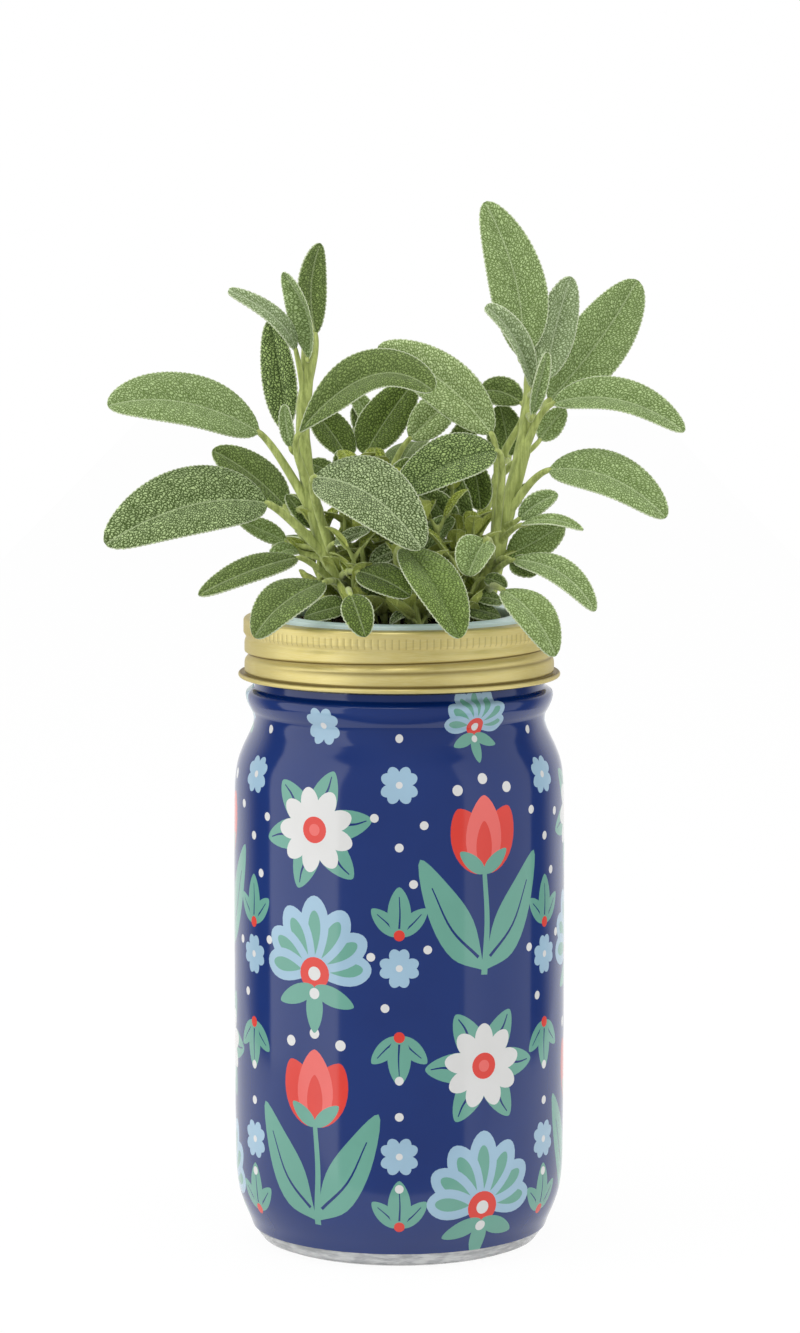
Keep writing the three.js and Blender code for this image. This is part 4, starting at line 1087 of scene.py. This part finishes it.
leafSkins = {name: leafFinish(name, *pair) for name, pair in tones.items()}
underSkin = underFinish("sage_under", paint(146, 163, 92), paint(190, 201, 142), 0.35)
youngUnder = underFinish("young_under", paint(160, 173, 66), paint(200, 210, 106), 0.1)
stemSkin = stemFinish()


def onPlug(spot):  # plant place to jar height
    return np.array((spot[0], spot[1], spot[2] + coir["top"]), float)


def stemLine(way):  # control points of a stem, foot first
    x, y = way[0]
    seat = onPlug((x, y, coir["dome"] * (1 - math.hypot(x, y) / sage["plugR"]) + sage["gap"]))
    rise = seat + (0, 0, sage["stemR"] if len(way) > 5 else sage["sideR"])
    return [seat, rise] + [onPlug(p) for p in way[1:]]


def bezier(points, t):
    points = [np.asarray(p, float)[None, :] * np.ones((len(t), 1)) for p in points]
    while len(points) > 1:
        points = [a + (b - a) * t[:, None] for a, b in zip(points, points[1:])]
    return points[0]


class Growth:  # points and faces of one plant piece
    def __init__(self):
        self.points, self.faces, self.skins, self.blade = [], [], [], []

    def add(self, points, faces, skins, blade):
        self.points += [tuple(p) for p in points]
        self.faces += faces
        self.skins += skins
        self.blade += [tuple(b) for b in blade]

    def bar(self, path, radii, sides=10, ridge=0):
        made, faces = tube(path, radii, sides, len(self.points), ridge)
        self.add(made, faces, [2] * len(faces), [(0, 0, 9)] * len(made))

    def leaf(self, root, middle, tip, width, face, seed, fine=1.0, fold=sage["fold"], blunt=sage["blunt"],
             slim=sage["slim"]):
        bend = 2 * middle - (root + tip) / 2
        length = np.linalg.norm(middle - root) + np.linalg.norm(tip - middle)
        rows = int(np.clip(length / sage["rowStep"] * fine, sage["leastRows"], sage["mostRows"]))
        columns = 21 if fine > 0.6 else 11
        t = np.linspace(0, 1, rows)
        t = t + 0.012 * np.sin(2 * math.pi * t)
        centre = bezier((root, bend, tip), t)
        along = unit(2 * (bend - root)[None] * (1 - t)[:, None] + 2 * (tip - bend)[None] * t[:, None])
        side = unit(np.cross(along, face))
        up = np.cross(side, along)
        run = t * length
        swell = np.sin(math.pi * np.clip(t, 0.004, 0.998) ** 0.85)
        body = np.maximum(width / 2 * swell ** np.where(t < 0.442, slim, blunt), sage["leastHalf"])
        draw = random.Random(seed)
        sway, lag = draw.uniform(0.02, 0.05), draw.uniform(0, 6.28)
        curl = draw.uniform(0.03, 0.09)
        crease = fold * (1 + 0.5 * np.sin(math.pi * t))
        spine = centre - up * (crease * body / 2)[:, None]
        tops, lows, blade = [], [], []
        teeth = np.abs(np.sin(math.pi * (run / sage["toothPitch"] + 0.25 * np.sin(run / 3.1 + lag))))
        for u in np.sin(np.linspace(-1, 1, columns) * 0.46 * math.pi) / math.sin(0.46 * math.pi):
            edge = fade(np.abs(u), 0.8, 1)
            out = u * body + np.sign(u) * edge * sage["tooth"] * (teeth - 0.5) * np.minimum(1, body / 2)
            lobe = math.sin(math.pi * min(1, abs(u))) * 0.1 - curl * u ** 4
            wave = sway * abs(u) ** 1.5 * np.sin(run / 5.5 + lag + (1.3 if u > 0 else 0))
            lift = (crease * (abs(u) - 0.5) + lobe + wave) * body
            thick = sage["thick"] * (1 - 0.75 * abs(u) ** 3) * np.minimum(1, 0.4 + body / 3)
            middleLine = centre + side * out[:, None] + up * lift[:, None]
            tops.append(middleLine + up * (thick / 2)[:, None])
            lows.append(middleLine - up * (thick / 2)[:, None])
            blade.append(np.column_stack([u * body, run, body * (1 - abs(u))]))
        first, count = len(self.points), rows * columns
        points = np.concatenate([np.stack(tops, 1).reshape(-1, 3), np.stack(lows, 1).reshape(-1, 3)])
        fields = np.stack(blade, 1).reshape(-1, 3) + (0, 17.3 * (seed % 23), 0)
        upper = [f[::-1] for f in gridFaces(rows, columns, first=first)]
        lower = gridFaces(rows, columns, first=first + count)
        if np.dot(np.cross(along[0], side[0]), up[0]) < 0:
            upper, lower = [f[::-1] for f in upper], [f[::-1] for f in lower]
        rim = [(first + a, first + b, first + b + count, first + a + count)
               for a, b in gridRim(rows, columns)]
        self.add(points, upper + lower + rim, [0] * len(upper) + [1] * len(lower) + [0] * len(rim),
                 np.concatenate([fields, fields]))
        return spine, along, up, t

    def petiole(self, start, out, root, blade, thick):  # leaf stalk that runs on as the midrib
        spine, along, up, t = blade
        reach = np.linalg.norm(root - start) / 3
        steps = np.linspace(0, 1, sage["petioleSteps"])
        stalk = bezier((start, start + out * reach, root - along[0] * min(reach, 5), root), steps)
        onRib = np.flatnonzero(t < 0.8)[1::3]
        width = 0.14 + thick * 0.62 * np.linspace(1, 0, len(onRib)) ** 1.6
        rib = spine[onRib] - up[onRib] * (width * 0.9 + 0.08)[:, None]
        self.bar(np.vstack([stalk, rib]), np.concatenate([
            np.linspace(thick * 1.5, thick * 0.85, len(stalk)), width]), 9)

    def make(self, name, tone, replaced=()):
        under = youngUnder if tone.startswith("young") else underSkin
        makePiece(name, self.points, self.faces, [leafSkins[tone], under, stemSkin], "plant",
                  replaced, self.skins, {"blade": self.blade})


stemPoints = {name: stemLine(way) for name, way in stemPaths.items()}
for name, points in stemPoints.items():
    shares = np.linspace(0, 1, sage["rings"])
    line = np.array([alongLine(points, s) for s in shares])
    line = np.vstack([[line[0] - (0, 0, sage["root"])], line])
    foot, top = stemWidth.get(name, sage["width"])
    radii = np.concatenate([[foot], foot + (top - foot) * shares])
    for at in [at for _, stem, at, *_ in leafList if stem == name]:  # nodes swell where leaves leave
        radii[1:] *= 1 + sage["nodeSwell"] * np.exp(-((shares - at) / sage["nodeHalf"]) ** 2)
    radii[1:] *= 1 - sage["taper"][1] * fade(shares, sage["taper"][0], 1)
    growth = Growth()
    growth.bar(line, radii, sage["sides"], sage["ridge"])
    growth.make("sage_stem_" + name, "mid", ["stem_" + name])
for number, (name, stem, at, width, tone, root, middle, tip, face) in enumerate(leafList):
    growth = Growth()
    root, middle, tip = (onPlug(p) for p in (root, middle, tip))
    shape = leafShapes.get(name, {})
    blade = growth.leaf(root, middle, tip, width, np.array(face, float), number + 1, **shape)
    line = stemPoints[stem]
    node = alongLine(line, at)
    grain = unit(alongLine(line, min(1, at + 0.01)) - alongLine(line, max(0, at - 0.01)))
    out = unit(root - node)
    away = unit(out - grain * out.dot(grain))
    start, out = node + away * 0.5, unit(out + grain * 0.4)
    if at > sage["tipShare"]:  # goes on where the stem ends
        start, out = node, grain
    growth.petiole(start, out, root, blade, sage["stalk"][0] + sage["stalk"][1] * width)
    growth.make("sage_leaf_" + name, tone, ["leaf_" + name])
print("plant grown:", len(leafList), "leaves")

# young shoots and low leaves that fill the middle of the plant
shoots = {
    "count": 30, "seed": 21, "reach": 23, "turn": 2.399, "tall": (15, 46), "leaf": (13, 21),
    "slender": (0.4, 0.5), "barR": (1.15, 0.6), "pairHeights": (16, 30), "stalk": 0.5, "fine": 0.5,
    "ringR": 26, "ringTop": 14,
    "tones": ("young", "young", "young_deep", "young"),
}
lowLeaves = [  # root, middle, tip, width, facing, tone
    ((-14, -17, 6), (-20, -17, 5), (-26.2, -13.6, 2.4), 8, (-0.1, -0.75, 0.65), "deep"),
    ((17, -15, 5.5), (22.5, -13.5, 4.4), (28, -9.8, 2.2), 7.5, (0.1, -0.75, 0.65), "deep"),
    ((3, -20, 3.6), (0.2, -23, 4), (-2.4, -25, 1.6), 3.4, (-0.1, -0.7, 0.7), "pale"),
    ((6, -16, 5), (9, -20, 9), (12.5, -23, 11), 6, (-0.3, -0.7, 0.6), "mid"),
    ((-5, -15, 6), (-8.5, -19, 9), (-10, -23, 9.5), 5.5, (0.2, -0.8, 0.6), "deep"),
    ((15, 4, 25), (11, 2, 31.5), (5, 0, 35.5), 8.5, (-0.2, -0.9, 0.4), "deep"),
    ((18, 8, 25), (16.4, 8, 33), (14.5, 9, 41), 7.5, (0.1, -1, 0.1), "deep"),
    ((22.8, 12, 30), (22, 12, 37), (20.5, 13, 44), 8, (0, -1, 0.1), "dark"),
    ((6.5, -3, 20), (10.5, -4, 25.5), (15.5, -6, 28.5), 7, (-0.2, -0.9, 0.4), "mid"),
    ((-8, -16, 17.5), (-3, -17, 20.5), (2, -18, 21.5), 6, (0, -0.8, 0.6), "pale"),
    ((-18, 6, 38), (-21.5, 7, 42), (-25.5, 8, 43), 6, (0.1, -0.9, 0.4), "deep"),
    ((-11, 8, 28), (-14, 9, 38), (-17, 10, 47), 9, (0.3, -0.9, 0.2), "dark"),
    ((-3, 4, 26), (-1, 4, 36), (3, 5, 45), 9.5, (-0.2, -0.9, 0.2), "deep"),
    ((9, 8, 34), (13, 8, 42), (19, 8, 48), 8, (-0.2, -0.9, 0.3), "dark"),
    ((-24.5, -1, 26), (-28, 0, 31), (-31.5, 2, 35), 5, (0.2, -0.9, 0.4), "deep"),
    ((29, -2, 30), (32, -3, 34), (35, -4, 38.5), 4, (0.1, -0.9, 0.4), "deep"),
    ((-7, 33, 50), (-10.3, 34, 57.5), (-14.5, 34, 62.2), 6, (0.3, -0.9, 0.3), "mid"),
    ((-10.2, 33, 47), (-11.8, 33, 53), (-13.4, 33, 57.4), 4, (0.3, -0.9, 0.3), "deep"),
    ((14, 24, 44), (18, 25, 50), (21.5, 25, 55.5), 7, (0.1, -0.95, 0.2), "deep"),
    ((21, -14, 7.6), (25, -12.4, 7.6), (28.4, -9.2, 6), 5.5, (0.1, -0.8, 0.6), "deep"),
    ((23.4, -16, 13.4), (26.4, -19, 13), (29.4, -21.5, 11.4), 4.6, (0.2, -0.9, 0.3), "deep"),
]


def inRing(spot):  # low places stay clear of the seal ring when it rises
    spot = np.array(spot, float)
    reach = math.hypot(spot[0], spot[1])
    if spot[2] < shoots["ringTop"] and reach > shoots["ringR"]:
        spot[:2] *= shoots["ringR"] / reach
    return onPlug(spot)


def growShoot(name, foot, top, pairs, draw):
    growth = Growth()
    foot, top = np.array(foot, float), np.array(top, float)
    waist = foot * 0.55 + top * 0.45 + (draw.uniform(-1.5, 1.5), draw.uniform(-1.5, 1.5), 1)
    line = smoothLine([onPlug(foot - (0, 0, 2)), onPlug(foot), onPlug(waist), onPlug(top)], 8)
    growth.bar(line, np.linspace(*shoots["barR"], len(line)), 8)
    turn = draw.uniform(0, math.pi)
    for k in range(pairs):
        share = 0.36 + 0.62 * k / max(pairs - 1, 1)
        node = line[int(share * (len(line) - 1))]
        start = node - (0, 0, coir["top"])
        size = draw.uniform(*shoots["leaf"]) * (1 - 0.3 * share)
        turn += math.pi / 2 + draw.uniform(-0.3, 0.3)
        for side in (0, math.pi):
            way = np.array((math.cos(turn + side), math.sin(turn + side), 0))
            lift = draw.uniform(0.45, 1.2) + 0.6 * (k == pairs - 1)
            flat = size / math.sqrt(1 + lift * lift)
            root, middle, tip = (inRing(start + way * flat * out + (0, 0, flat * lift * rise))
                                 for out, rise in ((0.25, 0.3), (0.75, 0.8), (1.25, 1)))
            face = np.array((0, 0, 1.0)) - way * lift * 0.8
            width = size * draw.uniform(*shoots["slender"])
            blade = growth.leaf(root, middle, tip, width, face, draw.randrange(1, 900), shoots["fine"])
            growth.petiole(node, unit(way + (0, 0, lift)), root, blade, shoots["stalk"])
    growth.make(name, draw.choice(shoots["tones"]))


draw = random.Random(shoots["seed"])
for number in range(shoots["count"]):
    angle = number * shoots["turn"] + draw.uniform(-0.3, 0.3)
    reach = shoots["reach"] * math.sqrt((number + 0.6) / shoots["count"])
    foot = (reach * math.cos(angle), reach * math.sin(angle), 0.5)
    tall = draw.uniform(*shoots["tall"]) * (1.1 - 0.6 * reach / shoots["reach"])
    top = (foot[0] * 1.06 + draw.uniform(-3, 3), foot[1] * 1.06 + draw.uniform(-3, 3), tall)
    pairs = 2 + sum(tall >= height for height in shoots["pairHeights"])
    growShoot("sage_shoot_%02d" % (number + 1), foot, top, pairs, draw)
for number, (root, middle, tip, width, face, tone) in enumerate(lowLeaves):
    growth = Growth()
    root, middle, tip = (onPlug(p) for p in (root, middle, tip))
    blade = growth.leaf(root, middle, tip, width, np.array(face, float), number + 60, sage["lowFine"])
    foot = np.array((root[0] * 0.8, root[1] * 0.8, coir["top"] - 1))
    growth.petiole(foot, np.array((0, 0, 1.0)), root, blade, sage["lowStalk"])
    growth.make("sage_low_%d" % (number + 1), tone)
print("shoots grown:", shoots["count"])

# stage: pale floor, white surroundings, two tall soft boxes and one overhead
stage = {
    "floorHalf": 0.3, "floorFront": -0.115, "floorBack": 4, "floorDrop": 0.0002, "floorGlow": 0.955,
    "soft": 0.84, "front": 0.42, "sides": 0.14, "frontEnd": (-0.3, -0.8), "backStart": (0.42, 0.82),
}
lamps = [  # name, place, looks at, size, watts
    ("left_box", (-1.23, -0.42, 0.28), (0, 0, 0.14), (1.5, 1.7), 9.7),
    ("right_box", (1.22, -0.35, 0.28), (0, 0, 0.14), (1.45, 1.7), 5.2),
    ("top_box", (-0.15, -0.35, 1.35), (0, 0, 0.2), (1.0, 1.0), 6.6),
]
for name, place, aim, size, watts in lamps:
    light = bpy.data.lights.new(name, "AREA")
    light.shape = "RECTANGLE"
    light.size, light.size_y = size
    light.energy = watts
    lamp = addObject(name, light)
    lamp.location = place
    lamp.rotation_euler = (Vector(aim) - Vector(place)).to_track_quat("-Z", "Y").to_euler()

world = bpy.data.worlds.new("studio")
world.use_nodes = True
scene.world = world
sky = Graph(world.node_tree)
rays = sky.node("ShaderNodeLightPath", out="Is Camera Ray")
mirror = rays.maths("MAXIMUM", rays.out("Is Glossy Ray"), rays.out("Is Transmission Ray"))
depth = sky.parts(sky.node("ShaderNodeTexCoord", out="Generated")).out("Y")
ahead = sky.smooth(depth, *stage["frontEnd"]) * (stage["front"] - stage["sides"])
behind = sky.smooth(depth, *stage["backStart"]) * (1 - stage["sides"])
level = mirror * (ahead + behind + stage["sides"] - stage["soft"]) + stage["soft"]
level = rays * (1 - level) + level  # plain white where the camera looks past everything
room = world.node_tree.nodes["Background"]
room.inputs["Color"].default_value = (1, 1, 1, 1)
world.node_tree.links.new(level.socket, room.inputs["Strength"])

half, front, back = stage["floorHalf"], stage["floorFront"], stage["floorBack"]
floorMesh = bpy.data.meshes.new("floor")
floorMesh.from_pydata([(-half, front, 0), (half, front, 0), (half, back, 0), (-half, back, 0)], [],
                      [(0, 1, 2, 3)])
floor = addObject("floor", floorMesh)
floor.location.z = -stage["floorDrop"]
pale = Finish("floor_pale", {
    "Base Color": (0.95, 0.95, 0.95, 1), "Roughness": 0.9, "Specular IOR Level": 0.1})
glow = pale.node("ShaderNodeEmission", {}, {"Color": (1, 1, 1, 1), "Strength": 1.0})
seen = pale.node("ShaderNodeLightPath", out="Is Camera Ray")
white = seen.maths("MAXIMUM", seen, seen.out("Is Glossy Ray"))
white = seen.maths("MAXIMUM", white, seen.out("Is Transmission Ray"))
mixed = pale.node("ShaderNodeMixShader", {}, {
    0: white * stage["floorGlow"], 1: Wire(pale, pale.shader.outputs[0]), 2: glow})
pale.tree.links.new(mixed.socket, pale.tree.nodes["Material Output"].inputs["Surface"])
floorMesh.materials.append(pale.material)
print("stage lit")
